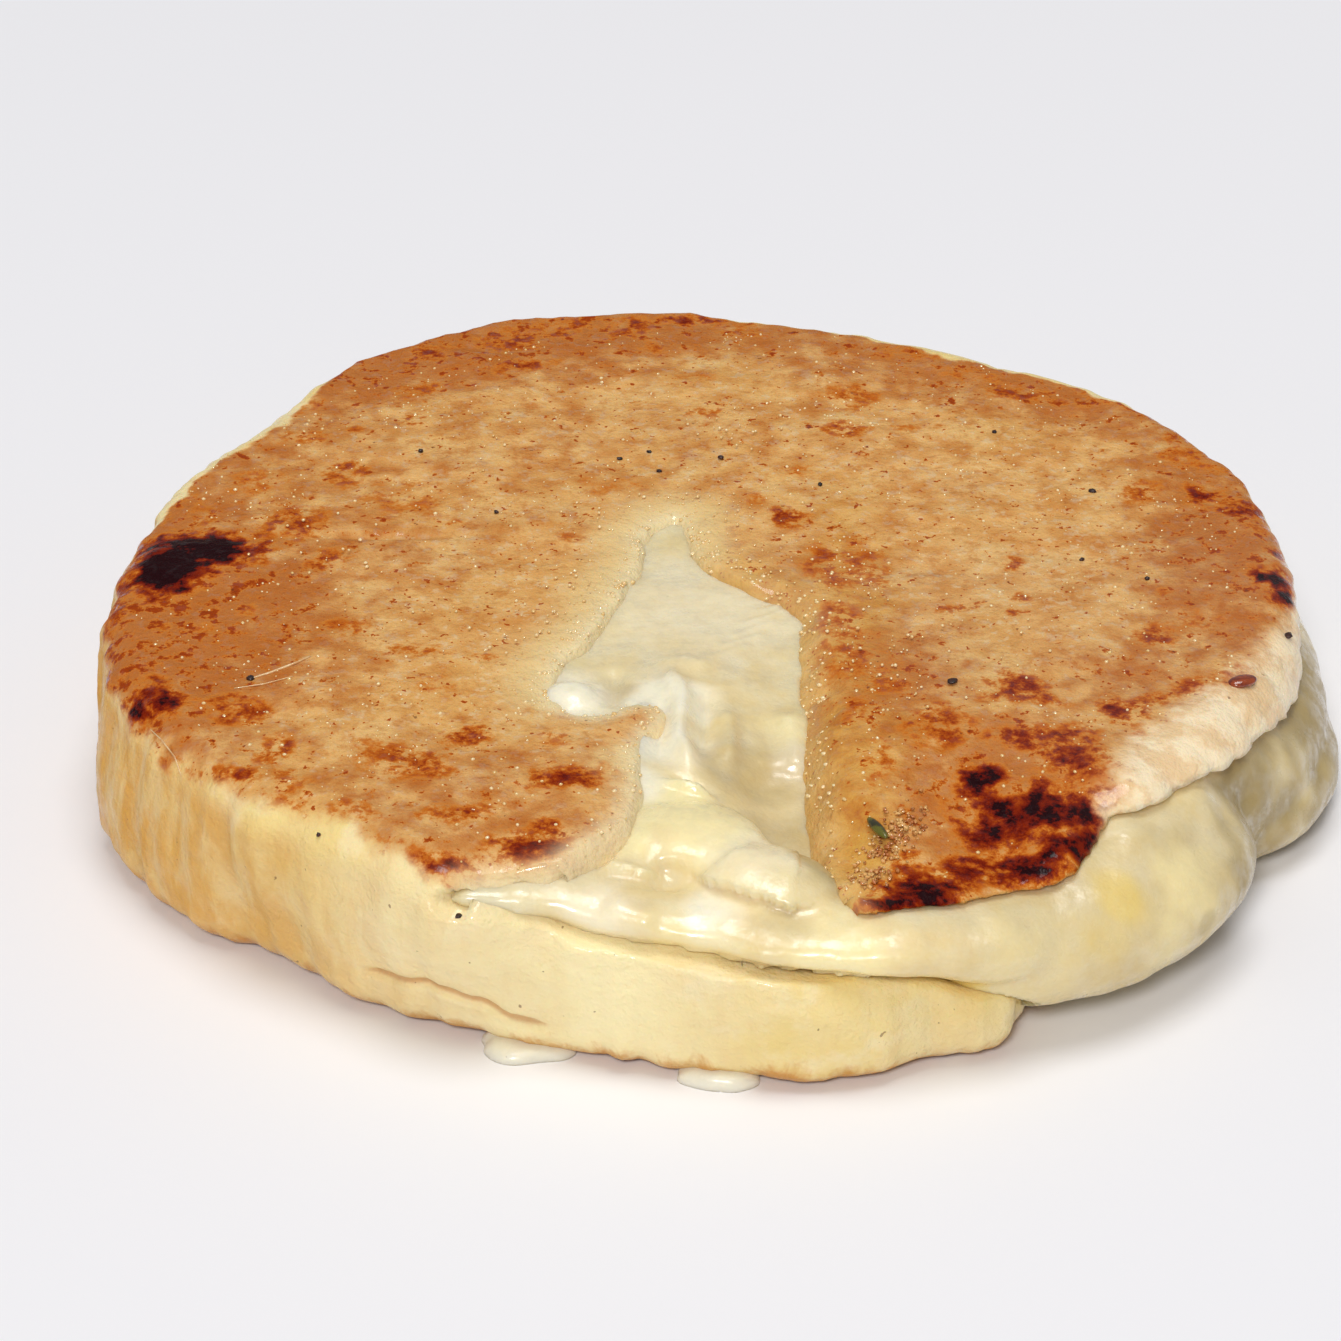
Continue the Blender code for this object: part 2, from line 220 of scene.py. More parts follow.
# %% The turned form
def cake_profile(station, angle):
    """Radius and height on the cake's skin, for arrays of stations and angles."""
    top = RADIUS * along(TOP_REACH, angle)
    low = RADIUS * along(LOW_REACH, angle)
    shoulder = HEIGHT * along(SHOULDER, angle)
    droop = HEIGHT * along(DROOP, angle)
    foot = HEIGHT * FOOT_ROUND
    edge = top - shoulder
    rim = HEIGHT - droop * eased(edge / RADIUS, 0.62, 0.98)

    face_r = edge * np.minimum(station / FACE_END, 1)
    out = face_r / RADIUS
    face_z = HEIGHT * (1 + DOME * np.maximum(0, 1 - out * out)) - droop * eased(out, 0.62, 0.98)

    bend = math.pi / 2 * np.clip((station - FACE_END) / (SHOULDER_END - FACE_END), 0, 1)
    shoulder_r = edge + shoulder * np.sin(bend)
    shoulder_z = rim - shoulder * (1 - np.cos(bend))

    t = np.clip((station - SHOULDER_END) / (WALL_END - SHOULDER_END), 0, 1)
    wall_r = top + (low - top) * eased(t, 0, 1) + 0.010 * RADIUS * np.sin(math.pi * t)
    wall_z = (rim - shoulder) + (foot - rim + shoulder) * t

    bend = math.pi / 2 * np.clip((station - WALL_END) / (FOOT_END - WALL_END), 0, 1)
    foot_r = low - foot * (1 - np.cos(bend))
    foot_z = foot * (1 - np.sin(bend))

    base_r = (low - foot) * (1 - np.clip((station - FOOT_END) / (1 - FOOT_END), 0, 1))
    parts = [station < FACE_END, station < SHOULDER_END, station < WALL_END, station < FOOT_END]
    radius = np.select(parts, [face_r, shoulder_r, wall_r, foot_r], base_r)
    height = np.select(parts, [face_z, shoulder_z, wall_z, foot_z], 0.0)
    return radius, height


def points_of(mesh, what="co"):
    """The points of a mesh, or with "normal" their directions outwards."""
    flat = np.empty(len(mesh.vertices) * 3)
    mesh.vertices.foreach_get(what, flat)
    return flat.reshape(-1, 3)


def put_points(mesh, points):
    mesh.vertices.foreach_set("co", np.asarray(points, np.float32).ravel())
    mesh.update()


bm = bmesh.new()
bmesh.ops.create_uvsphere(bm, u_segments=DOUGH_SIDES, v_segments=DOUGH_RINGS, radius=1)
dough_mesh = mesh_from(bm, "dough")
ball = points_of(dough_mesh)
station = 0.5 - np.arcsin(np.clip(ball[:, 2], -1, 1)) / math.pi
turn = np.arctan2(ball[:, 1], ball[:, 0])
angle = np.degrees(turn)
radius, height = cake_profile(station, angle)
dough = np.stack([radius * np.cos(turn), radius * np.sin(turn), height], 1)
outward = np.stack([np.cos(turn), np.sin(turn), 0 * turn], 1)
print("dough:", len(dough), "points")


# %% [markdown]
# ## The tear and the slit
#
# A torn edge is ragged at every size. The distance from each point of the face to the torn
# outline is worked out, made uneven with noise, and used twice: inside the outline the face is
# pushed down so that the cheese can lie in the hole, and along it the dough is thin, wet and
# lumpy. The slit in the wall is a groove between two lips, which the cheese fills.

# %% The tear and the slit
def signed_distance(points, outline):
    """Distance in the plane from points to a closed outline, negative inside it."""
    ring = np.array(outline, float)
    nxt = np.roll(ring, -1, 0)
    best = np.full(len(points), 1e9)
    inside = np.zeros(len(points), bool)
    px, py = points[:, 0], points[:, 1]
    for (x0, y0), (x1, y1) in zip(ring, nxt):
        ex, ey = x1 - x0, y1 - y0
        t = np.clip(((px - x0) * ex + (py - y0) * ey) / (ex * ex + ey * ey), 0, 1)
        best = np.minimum(best, np.hypot(px - x0 - t * ex, py - y0 - t * ey))
        crosses = (y0 > py) != (y1 > py)
        with np.errstate(divide="ignore", invalid="ignore"):
            inside ^= crosses & (px < x0 + (py - y0) * ex / np.where(ey == 0, 1e-9, ey))
    return np.where(inside, -best, best)


def rounded(outline, rounds):
    """An outline with its corners cut a few times, so that it runs in curves."""
    ring = np.array(outline, float)
    for _ in range(rounds):
        nxt = np.roll(ring, -1, 0)
        ring = np.stack([ring * 0.75 + nxt * 0.25, ring * 0.25 + nxt * 0.75], 1).reshape(-1, 2)
    return ring


def crease_height(angle):
    return HEIGHT * along(LOWER_LIP, angle)


def cheese_level(x, y):
    """How high the cheese stands in the tear: nearly level with the face at the left, lower at the
    right, and falling to the crease above the bottom slab at the front."""
    r, turn = np.hypot(x, y), np.degrees(np.arctan2(y, x))
    crease = np.where((y < -30) & (r > 30), crease_height(turn), 13.0)
    level = 19.5 - 0.5 * eased(x, 2, 8) - 1.4 * eased(x, 2, 8) * eased(-y, 22, 34)
    fall = 5.5 - 3.2 * eased(x, -4, 4)
    brim = RADIUS * along(TOP_REACH, turn) + 0.8
    return crease + (level - crease) * (1 - np.clip(r / brim, 0, 1) ** fall)


tear_outline = rounded(TEAR, 2)
flat = dough * (1, 1, 0)
plan_r = np.hypot(dough[:, 0], dough[:, 1])
torn = signed_distance(dough, tear_outline)
torn += 0.5 * lumps(flat, 3.6, 1) + 0.12 * lumps(flat, 1.5, 2)
gentle = eased(dough[:, 0], 4, 8) * (1 - eased(-dough[:, 1], 42, 48))
torn -= 0.9 * gentle
slack = 2.2 * eased(-dough[:, 0], 11, 17) * eased(-dough[:, 1], 44, 50) + 1.6 * gentle
hole = (1 - eased(torn, -1.0 - slack, 0.5 + slack)) * (station < WALL_END)
floor = cheese_level(dough[:, 0], dough[:, 1]) - 0.1 - 1.1 * (1 - eased(plan_r, 42, 50))
floor -= 2.0 * (1 - eased(plan_r, 50, 56)) * eased(-torn, 0, 1.5)
lip_r = RADIUS * along(TOP_REACH, angle) - 0.5
floor += 0.5 * np.exp(-((plan_r - lip_r) / 0.7) ** 2) * (1 - eased(angle, -94, -84))
excess = np.maximum(dough[:, 2] - floor, 0) * hole
dough[:, 2] -= excess
dough -= outward * (0.6 * excess * (station > FACE_END))[:, None]

lower_lip = crease_height(angle)
upper_lip = HEIGHT * along(UPPER_LIP, angle)
in_slit = (angle > SLIT_FROM) & (angle < SLIT_TO) & (station > FACE_END) & (torn > 0)
groove = eased(dough[:, 2], lower_lip - 0.2, lower_lip + 0.8)
groove *= 1 - eased(dough[:, 2], upper_lip - 1.0, upper_lip + 0.2)
groove *= eased(angle, SLIT_FROM, SLIT_FROM + 5) * in_slit
dough -= outward * (groove * SLIT_DEPTH)[:, None]

# %% [markdown]
# ## Relief on the dough
#
# The face has broad dips and rises from patting, a blistered fold on the left, and fine pimples.
# The wall was squeezed as the cake was shaped, so it shows soft upright creases. The base lies
# flat on the table and its edge is a little frilly.

# %% Relief
def hill(centre, spans, turn_deg=0.0, tall=1.0):
    """A rounded rise on the face: centre, half sizes and turn in plan, and its height."""
    c, s = math.cos(math.radians(turn_deg)), math.sin(math.radians(turn_deg))
    dx, dy = dough[:, 0] - centre[0], dough[:, 1] - centre[1]
    across, up = (c * dx + s * dy) / spans[0], (-s * dx + c * dy) / spans[1]
    return tall * np.exp(-(across ** 2 + up ** 2) * 1.6)


on_face = (1 - eased(station, FACE_END - 0.01, FACE_END + 0.04)) * (1 - hole)
on_wall = eased(station, FACE_END + 0.03, SHOULDER_END) * (1 - eased(station, WALL_END, FOOT_END))
edge_wobble = 0.55 * lumps(outward * 58, 5.0, 5) + 0.30 * lumps(outward * 58, 1.8, 6)
by_edge = eased(radius, 40, 57) * (1 - eased(station, FOOT_END - 0.02, FOOT_END + 0.02))
relief = 0.42 * lumps(flat, 17, 7) + 0.22 * lumps(flat, 6.0, 8, (1.6, 1, 1))
relief += 0.10 * lumps(flat, 2.4, 9) + 0.05 * lumps(flat, 1.1, 10)
relief += hill((-50, 3.5), (7.0, 5.0), -16, 1.4) - hill((-33, 7.5), (11, 1.0), 2, 0.7)
relief += hill((-38, 3.5), (11, 4.5), 5, 0.6) + hill((-52, -24), (3.0, 2.0), 0, 0.5)
torn_rim = np.exp(-((torn - 1.8) / 1.8) ** 2) * eased(dough[:, 0], -3, 4)
relief += 0.5 * torn_rim * lumps(flat, 3.2, 11)
relief -= hill((13, -45), (4.5, 8.0), 12, 1.3)
relief -= 0.6 * np.exp(-(np.maximum(torn, 0) / 3.0) ** 2) * (1 - eased(dough[:, 0], -2, 5))
relief -= 1.5 * (1 - eased(torn, 0, 4.5)) * eased(dough[:, 0], 4, 9) * eased(-dough[:, 1], 8, 18)
dough[:, 2] += relief * on_face
creases = 0.55 * lumps(dough, 7.5, 12, (1, 1, 2.2)) + 0.28 * lumps(dough, 2.6, 13, (1, 1, 3.5))
creases += 0.10 * lumps(dough, 1.2, 14)
dough += outward * (creases * on_wall * (1 - groove))[:, None]
dough += outward * (edge_wobble * by_edge * (1 - groove))[:, None]
CRACK = ((-124, 0.27), (-121, 0.285), (-116, 0.31), (-111, 0.275), (-108, 0.215), (-101, 0.17))
from_crack = dough[:, 2] - HEIGHT * along(CRACK, angle)
cracked = eased(angle, -125, -121) * (1 - eased(angle, -107, -101)) * on_wall
crack = np.exp(-(from_crack / 0.5) ** 2) * cracked
dough -= outward * (0.5 * crack)[:, None]
dough += outward * (0.35 * cracked * (1 - eased(from_crack, -0.8, -0.2)))[:, None]
frill = eased(station, WALL_END - 0.03, FOOT_END - 0.02) * (1 - eased(station, FOOT_END, 0.97))
dough += outward * (frill * (0.5 * lumps(outward * 58, 2.8, 15)))[:, None]
dough[:, 2] = np.where(station > FOOT_END, 0.0, np.maximum(dough[:, 2], 0.0))
print("relief on the face, mm:", round(float(relief.min()), 2), round(float(relief.max()), 2))


# %% [markdown]
# ## Browning
#
# A griddle touches the dough only where it stands proud, so the browning comes in patches: pale
# gold, toffee brown, and nearly black on the blister at the left and on the flap at the front
# right. Each patch is an oval on the face: its middle, its half sizes, how hot it got, and its
# turn if it has one. Noise bends the ovals, and the heat is kept on the mesh for the material to
# read.

# %% Browning
PATCHES = {
    "blister": (
        (-51.5, 1, 4.2, 5.6, 1.4), (-48.5, 5.5, 6.4, 3.4, 1.4, -12), (-56, -3, 1.5, 8, 0.6),
    ),
    "left edge": (
        (-51, -23, 2.4, 2.2, 1), (-49, -25, 2.2, 2.2, 1), (-52, -27, 1.9, 1.6, 1.35),
        (-54, -24, 0.7, 1, 0.7), (-43, -26, 3, 2.6, 0.62), (-39, -33, 1.7, 2.2, 0.6),
        (-43, -38, 2.6, 2, 0.7), (-37, -38, 1.6, 2.5, 0.4), (-31, -44, 3, 1.6, 0.42, -25),
        (-43, -8, 1.3, 1.4, 0.5), (-47, -11, 1.2, 1.4, 0.5), (-51, -11, 1, 1, 0.5),
        (-36, 2.5, 2, 2.2, 0.64), (-40, 10, 3.6, 3.4, 0.58), (-36, 21, 2.3, 2.8, 0.56, 15),
        (-44, 19, 3, 2.6, 0.38), (-49, 12, 1.2, 3, 0.48), (-29, 15, 5, 4.4, 0.3),
    ),
    "front left": (
        (-23.5, -53.5, 3.8, 2.2, 1), (-22, -45, 2.6, 1.7, 0.66), (-19, -44, 1.3, 2, 0.45),
        (-15, -50, 3.8, 2.6, 0.85, 16), (-14, -47, 1.6, 1.4, 0.7), (-9, -47, 1.5, 1, 0.45),
        (-12, -38, 3.4, 2.3, 0.8), (-21, -30, 2.8, 2, 0.72, -8), (-26, -36, 3, 2.6, 0.62),
        (-29.5, -34, 2.4, 3.5, 0.4), (-14, -31, 2.2, 1.8, 0.38), (-7, -27, 3.5, 2.2, 0.2),
        (-24, -21, 2.5, 3, 0.25), (-27, -15, 3.2, 1.2, 0.42), (-20, -16, 1.6, 1, 0.42),
        (-34, -11, 2.2, 1.5, 0.5), (-12, 7, 1.4, 1, 0.36), (-24, 10, 0.8, 0.8, 0.5),
    ),
    "back edge": (
        (-41, 37, 3, 2, 0.5, 35), (-40, 29, 3, 1.4, 0.5, 8), (-35, 31, 1.3, 0.8, 0.45),
        (-29, 33, 1.2, 1.3, 0.6), (-29, 40, 2.4, 2, 0.45, 20), (-28, 49, 1.9, 2, 0.62),
        (-20, 52, 3, 2.8, 0.62), (-18, 45.5, 3, 1.6, 0.66, 28), (-14, 55, 3, 2.6, 0.56),
        (-7, 55, 2.6, 2.6, 0.62), (-1, 57, 3, 1.2, 0.85), (-5, 50, 1.6, 1.5, 0.45),
        (5, 54, 2.6, 1.6, 0.5), (6, 56, 1.2, 0.8, 0.6), (22, 48, 5, 1.5, 0.36, -15),
        (28, 43, 3.5, 1.6, 0.42, -20), (33, 39, 5.5, 1.8, 0.52, -22),
    ),
    "back of the face": (
        (1, 34, 2, 1.5, 0.42), (0, 42, 2.2, 1.4, 0.32), (0, 11, 0.9, 1.5, 0.52),
        (3, 8, 3, 3, 0.36), (-8, 18, 5, 2.2, 0.25), (16, 38, 3, 3, 0.48),
        (15, 30, 2.2, 1.8, 0.66), (22, 31, 5, 0.8, 0.3, 5), (10, 21, 1.8, 1.5, 0.34),
        (6, 15, 1.2, 1.6, 0.32),
    ),
    "right of the tear": (
        (8.5, 11, 1.9, 2.2, 0.7), (14, 1, 4, 4.6, 0.52), (13, -8, 2, 3, 0.5),
        (14, -14, 2.8, 6, 0.44), (17, -20, 2.6, 4, 0.4), (14.5, -26, 1.6, 3, 0.42),
        (16, -35, 1.6, 3.6, 0.46), (22, -29, 3, 3.8, 0.6), (29, -22, 3.2, 2.6, 0.72, -10),
        (32, -24, 2.2, 1.2, 0.62, -18), (30, 2, 0.9, 1, 0.7), (25, -6.5, 2.4, 0.9, 0.6, 25),
        (30, -8, 1.1, 0.8, 0.6), (31, -5, 0.8, 1.2, 0.45),
    ),
    "right edge": (
        (48, 29, 1.3, 1.1, 0.85, -30), (50, 25, 3.4, 2.4, 0.5, -35), (50, 17, 2, 2.2, 0.78),
        (53.5, 14, 2.6, 1.8, 0.8, -20), (44, 17, 1.8, 2.2, 0.6), (54, 10, 1.5, 2, 0.5),
        (56, 5, 1.5, 1.7, 0.9), (55, -1, 2.2, 2.6, 1.3), (56.5, -5, 2, 2.2, 1.3),
        (45, -4, 1.1, 1.2, 0.45), (47, -9, 3, 2, 0.34), (43, -12, 2.3, 2.4, 0.6),
        (50, -19.5, 2, 1.6, 0.9, 25), (46, -22, 3, 1.8, 0.65, 12), (42, -24, 2.4, 1.4, 0.65, 15),
        (38.5, -26, 2.2, 2.6, 0.8), (40, -30, 1.4, 1.3, 0.6),
    ),
    "scorched flap": (
        (31, -31, 4.4, 2.6, 0.72), (34, -35, 3.4, 3.4, 0.92, -25), (25, -39, 2.4, 3.6, 1.05),
        (30, -44.5, 6.5, 5, 1.12), (36, -44, 3.4, 3.6, 1.2, -30), (26, -47.5, 3, 3.4, 1.05),
        (34, -51, 5, 4.2, 1.2, 22), (29, -54, 4.4, 3.6, 1.1), (23, -53.5, 2, 2.4, 0.85),
        (19.5, -57.5, 4.6, 3.4, 1.1, 5), (16, -59.5, 2.6, 2, 1.15), (18, -52, 1.7, 2, 0.66),
    ),
}
WARM_ZONES = (
    (-47, -8, 14, 22, 0.58), (-36, 10, 16, 18, 0.3), (-22, -42, 17, 13, 0.32, -12),
    (-20, 48, 26, 10, 0.34, 8), (-8, 26, 40, 18, 0.18), (24, 42, 22, 8, 0.28, -18),
    (18, -22, 8, 14, 0.44), (28, -40, 13, 15, 0.52), (50, 2, 8, 22, 0.5), (12, 2, 8, 10, 0.32),
    (42, -20, 9, 8, 0.42, 20),
)
LEAN = 1.73  # the drooping flap is seen from the front, so its patches are placed along that line


def oval_field(places, spots, bend, soft):
    """The strongest of a set of bent ovals at each place."""
    field = np.zeros(len(places))
    for x, y, a, b, heat, *turned in spots:
        turn = math.radians(turned[0] if turned else 0)
        c, s = math.cos(turn), math.sin(turn)
        dx, dy = places[:, 0] - x, places[:, 1] - y
        d = np.hypot((c * dx + s * dy) / a, (-s * dx + c * dy) / b) + bend
        field = np.maximum(field, heat * (1 - eased(d, 1 - soft, 1 + soft)))
    return field


front = 1 - eased(dough[:, 1], -8, 6)
sight = dough.copy()
sight[:, 1] -= LEAN * front * (20.4 - height)
bend = 0.34 * lumps(flat, 2.4, 21) + 0.26 * lumps(flat, 1.1, 22)
all_patches = [patch for group in PATCHES.values() for patch in group]
drift = np.stack([lumps(flat, 3.4, 25), lumps(flat, 3.4, 26), 0 * angle], 1)
heat = oval_field(sight + 0.7 * drift, all_patches, bend, 0.75)
warm = oval_field(sight + 2.5 * drift, WARM_ZONES, bend * 0.5, 0.8)
warm += 0.34 * eased(plan_r, 42, 56) * eased(outward[:, 1] - 0.4 * outward[:, 0], -0.6, 0.5)

BROWNED_EDGE = (
    (-180, 0.665), (-150, 0.665), (-138, 0.655), (-128, 0.635), (-120, 0.64), (-112, 0.652),
    (-104, 0.652), (-96, 0.65), (-92, 0.65), (-70, 0.69), (-56, 0.69), (-50, 0.66), (-47, 0.635),
    (-36, 0.6), (-27, 0.61), (-21, 0.63), (-12, 0.63), (-6, 0.655), (4, 0.66), (30, 0.66),
    (42, 0.63), (60, 0.618), (80, 0.63), (100, 0.665), (126, 0.655), (138, 0.615), (160, 0.62),
    (172, 0.66), (180, 0.665),
)
edge_noise = 0.010 * lumps(outward * 58, 3.5, 23) + 0.006 * lumps(dough, 1.2, 24)
fading = 0.007 + 0.04 * eased(angle, -54, -46) * (1 - eased(angle, -20, 6))
fading += 0.012 * (1 - eased(angle, -98, -88))
crust = 1 - eased(station + edge_noise, along(BROWNED_EDGE, angle) - fading,
                  along(BROWNED_EDGE, angle) + fading)
heat *= crust
warm *= crust
rim_line = along(BROWNED_EDGE, angle) - 0.006
rim_line = np.exp(-((station + edge_noise - rim_line) / 0.009) ** 2)
rim_line *= (eased(-angle, 40, 110) + 1.2 * eased(np.abs(angle), 150, 164)
             + 1.6 * eased(angle, -6, 4) * (1 - eased(angle, 38, 60)))
upper = station < SHOULDER_END + 0.03
wet = np.exp(-(np.maximum(torn, 0) / 1.7) ** 2) * upper
right_side = eased(dough[:, 0], -3, 1)
soak = np.exp(-(np.maximum(torn, 0) / 3.6) ** 2) * upper * right_side
pale = np.exp(-(np.maximum(torn, 0) / 6.5) ** 2) * upper
pale *= 1 - 0.9 * right_side * eased(-dough[:, 1], -8, 4)
NOT_PALE = ((-8, -28, 7, 4.5, 1), (-12, -44, 6, 8, 1), (-23, -51, 11, 7, 1))
pale *= 1 - oval_field(flat, NOT_PALE, bend, 0.5)
wet *= 1 - 0.8 * right_side
# A painted highlight along the top edge of the bottom slab, folded into the wet field.
lip_shine = np.exp(-((plan_r - lip_r) / 1.0) ** 2) * (1 - eased(angle, -94, -84)) * hole
wet = np.maximum(wet, lip_shine)
SOAKED = ((14, -22, 5, 30, 0.8), (13, -45, 4.5, 10, 1, 10))
soak = np.maximum(soak, oval_field(sight, SOAKED, bend, 0.5) * upper)
underside = eased(station, FOOT_END - 0.03, FOOT_END)
print("browned share of the face:", round(float((heat > 0.3).sum() / (crust > 0.5).sum()), 3))

# %% [markdown]
# ### Keeping the fields on the mesh
#
# A material can't work out where a torn edge or a scorch mark is, but it can read a number that
# is stored at every point. Each field becomes an attribute of the mesh. The shader adds the
# finest detail to it with noise.

# %% The dough's fields
def keep_fields(mesh, **fields):
    for name, values in fields.items():
        kept = mesh.attributes.new(name, "FLOAT", "POINT")
        kept.data.foreach_set("value", np.asarray(values, np.float32))


def closed_piece(mesh, name):
    """Closes the poles and seams, points the faces outwards and smooths the shading."""
    bm = bmesh.new()
    bm.from_mesh(mesh)
    bmesh.ops.remove_doubles(bm, verts=bm.verts, dist=1e-6)
    bmesh.ops.recalc_face_normals(bm, faces=bm.faces)
    bm.to_mesh(mesh)
    bm.free()
    mesh.shade_smooth()
    mesh.name = name
    return shown(name, mesh)


def within_box(points):
    """Keeps points just inside the part's own box."""
    low, high = (np.array(corner) * 1000 - np.array(MIDDLE) * 1000 for corner in cad_box)
    return np.clip(points, low + (EASE, EASE, 0), high - EASE)


band = (1 - eased(station, 0.74, 0.80)) * eased(angle, -56, -44) * (1 - eased(angle, 0, 20))
# The wall facing left is painted darker and more orange: partly the dough's own tone, partly
# painted shade on the side turned from the lamps.
left_wall_tone_and_shade = eased(-outward[:, 0], 0.25, 0.95) * on_wall
# A paler stretch of the front-left wall: partly the dough's own tone, partly a painted highlight
# where the front lamp falls.
fair = eased(angle, -132, -118) * (1 - eased(angle, -98, -82)) * on_wall
keep_fields(
    dough_mesh, toast=heat, warm=warm, crust=crust, soak=soak, pale=pale, wet=wet, under=underside,
    rim=rim_line, crack=crack, band=band, fair=fair,
    lift=np.clip(dough[:, 2] / HEIGHT, 0, 1), left=left_wall_tone_and_shade,
)
put_points(dough_mesh, within_box(dough))
into_place(dough_mesh)
dough_piece = closed_piece(dough_mesh, "corn_dough")
print("dough piece:", len(dough_mesh.polygons), "faces")

# %% [markdown]
# ## The cheese
#
# Melted cheese has no edges of its own: masses run together into one skin. So it is made as it
# flows. A tube bent round the rim fills the slit, rounded masses make the bulges on the right,
# and a sheet lies in the tear. A voxel remesh joins them, smoothing melts the joins, and then
# each fold, lip and hollow is pushed in or out along a path.

# %% The masses of cheese
CHEESE_VOXEL, SHEET_THICK = 0.38, 2.4
BULGES = {
    "big bulge": ((34.2, -36.5, 8.8), (20.7, 13.5, 8.0), 45),
    "bulge behind it": ((48.3, -5.8, 4.8), (19.6, 13.5, 7.2), 90),
    "white blob": ((-12.2, -22.0, 18.0), (3.2, 3.0, 2.7), 15),
    "broad fold": ((-1.5, -42.5, 16.4), (7.6, 5.4, 2.6), -22),
    "yellow lobe": ((5.6, -48.0, 14.9), (7.4, 4.6, 3.0), -24),
}


def rim_tube(bm):
    """The cheese along the slit: a tube bent round the rim, as tall as the slit is open."""
    ringed_tube(bm, 40, 160)
    verts = list(bm.verts)
    unit = np.array([v.co for v in verts])
    turn = SLIT_FROM + 2 + (SLIT_TO - SLIT_FROM - 4) * (unit[:, 2] + 0.5)
    low, high = HEIGHT * along(LOWER_LIP, turn), HEIGHT * along(UPPER_LIP, turn)
    outer, inner = RADIUS * along(CHEESE_REACH, turn), RADIUS * 0.78
    r = (outer + inner) / 2 + (outer - inner) / 2 * unit[:, 0]
    z = (low + high) / 2 + (high - low) / 2 * unit[:, 1]
    turn = np.radians(turn)
    for vert, x, y, up in zip(verts, r * np.cos(turn), r * np.sin(turn), z):
        vert.co = (x, y, up)


def tear_sheet(bm):
    """A slab with the tear's outline, a little wider than it, so its edge hides in the dough."""
    made = bmesh.ops.create_grid(bm, x_segments=96, y_segments=160, size=0.5)
    verts = list(made["verts"])
    flat = np.array([v.co for v in verts]) * (46, 78, 1) + (-3, -24, 0)
    reach = RADIUS * along(CHEESE_REACH, np.degrees(np.arctan2(flat[:, 1], flat[:, 0]))) - 0.8
    keep = signed_distance(flat, tear_outline) < 1.3
    keep &= np.hypot(flat[:, 0], flat[:, 1]) < reach + 2
    flat[:, :2] *= np.minimum(1, reach / np.hypot(flat[:, 0], flat[:, 1]))[:, None]
    tops = cheese_level(flat[:, 0], flat[:, 1])
    for vert, (x, y, _), z in zip(verts, flat, tops):
        vert.co = (x, y, z)
    bmesh.ops.delete(bm, geom=[v for v, kept in zip(verts, keep) if not kept], context="VERTS")
    bmesh.ops.remove_doubles(bm, verts=bm.verts, dist=0.05)
    made = bmesh.ops.extrude_face_region(bm, geom=list(bm.faces), use_keep_orig=True)
    lower = [v for v in made["geom"] if isinstance(v, bmesh.types.BMVert)]
    bmesh.ops.translate(bm, verts=lower, vec=(0, 0, -SHEET_THICK))


def one_skin(bm, name, voxel, rounds):
    """Runs closed shapes together: a voxel remesh, then smoothing."""
    mesh = mesh_from(bm, name)
    thing = shown(name, mesh)
    remesh = thing.modifiers.new("one skin", "REMESH")
    remesh.mode = "VOXEL"
    remesh.voxel_size = voxel
    melt = thing.modifiers.new("melted", "SMOOTH")
    melt.iterations = rounds
    bpy.context.view_layer.update()
    graph = bpy.context.evaluated_depsgraph_get()
    made = bpy.data.meshes.new_from_object(thing.evaluated_get(graph))
    bpy.data.objects.remove(thing)
    bpy.data.meshes.remove(mesh)
    return made


bm = bmesh.new()
tear_sheet(bm)
bmesh.ops.recalc_face_normals(bm, faces=bm.faces)
sheet_mesh = mesh_from(bm, "sheet")
bm = bmesh.new()
rim_tube(bm)
for centre, half, turn_deg in BULGES.values():
    place = placed(centre, turn_deg, half)
    bmesh.ops.create_uvsphere(bm, u_segments=64, v_segments=40, radius=1, matrix=place)
for vert in bm.verts:
    vert.co.z = max(vert.co.z, 0.5)
bm.from_mesh(sheet_mesh)
bmesh.ops.recalc_face_normals(bm, faces=bm.faces)
cheese_mesh = one_skin(bm, "cheese", CHEESE_VOXEL, 10)
cheese = points_of(cheese_mesh)
print("cheese:", len(cheese), "points, lowest and highest", cheese.min(0), cheese.max(0))

# %% [markdown]
# ## Folds, lips and hollows
#
# Where the cheese was pulled as the cake was opened, it wrinkled into soft ropes and overlapping
# lips. A ridge swells evenly about its path. A lip is one-sided: it rises slowly from behind, on
# the left of the path's direction, and drops sharply in front of it.

# %% Folds in the cheese
def beside(points, path):
    """Distance to a path, the side it is on in plan, and the share along the path."""
    path = np.array(path, float)
    lengths = np.linalg.norm(np.diff(path, axis=0), axis=1)
    starts = np.concatenate([[0], np.cumsum(lengths)])
    best = np.full(len(points), 1e9)
    side, share = np.zeros(len(points)), np.zeros(len(points))
    for a, b, start, length in zip(path, path[1:], starts, lengths):
        t = np.clip(((points - a) @ (b - a)) / length ** 2, 0, 1)
        gap = points - a - t[:, None] * (b - a)
        d = np.linalg.norm(gap, axis=1)
        closer = d < best
        best = np.where(closer, d, best)
        turn = (b[0] - a[0]) * gap[:, 1] - (b[1] - a[1]) * gap[:, 0]
        side = np.where(closer, np.sign(turn), side)
        share = np.where(closer, (start + t * length) / starts[-1], share)
    return best, side, share


def taper(share, fade):
    return eased(share, 0, fade) * (1 - eased(share, 1 - fade, 1))


def ridge(points, path, width, tall):
    d, _, share = beside(points, path)
    return tall * np.exp(-(d / width) ** 2) * taper(share, 0.25)


def lip(points, path, width, tall, fade=0.2):
    """A lip whose high side is on the left of the path's direction."""
    d, side, share = beside(points, path)
    behind = np.exp(-(d / width) ** 1.5)
    ahead = np.exp(-(d / 0.45) ** 2)
    return tall * np.where(side > 0, behind, ahead) * taper(share, fade)


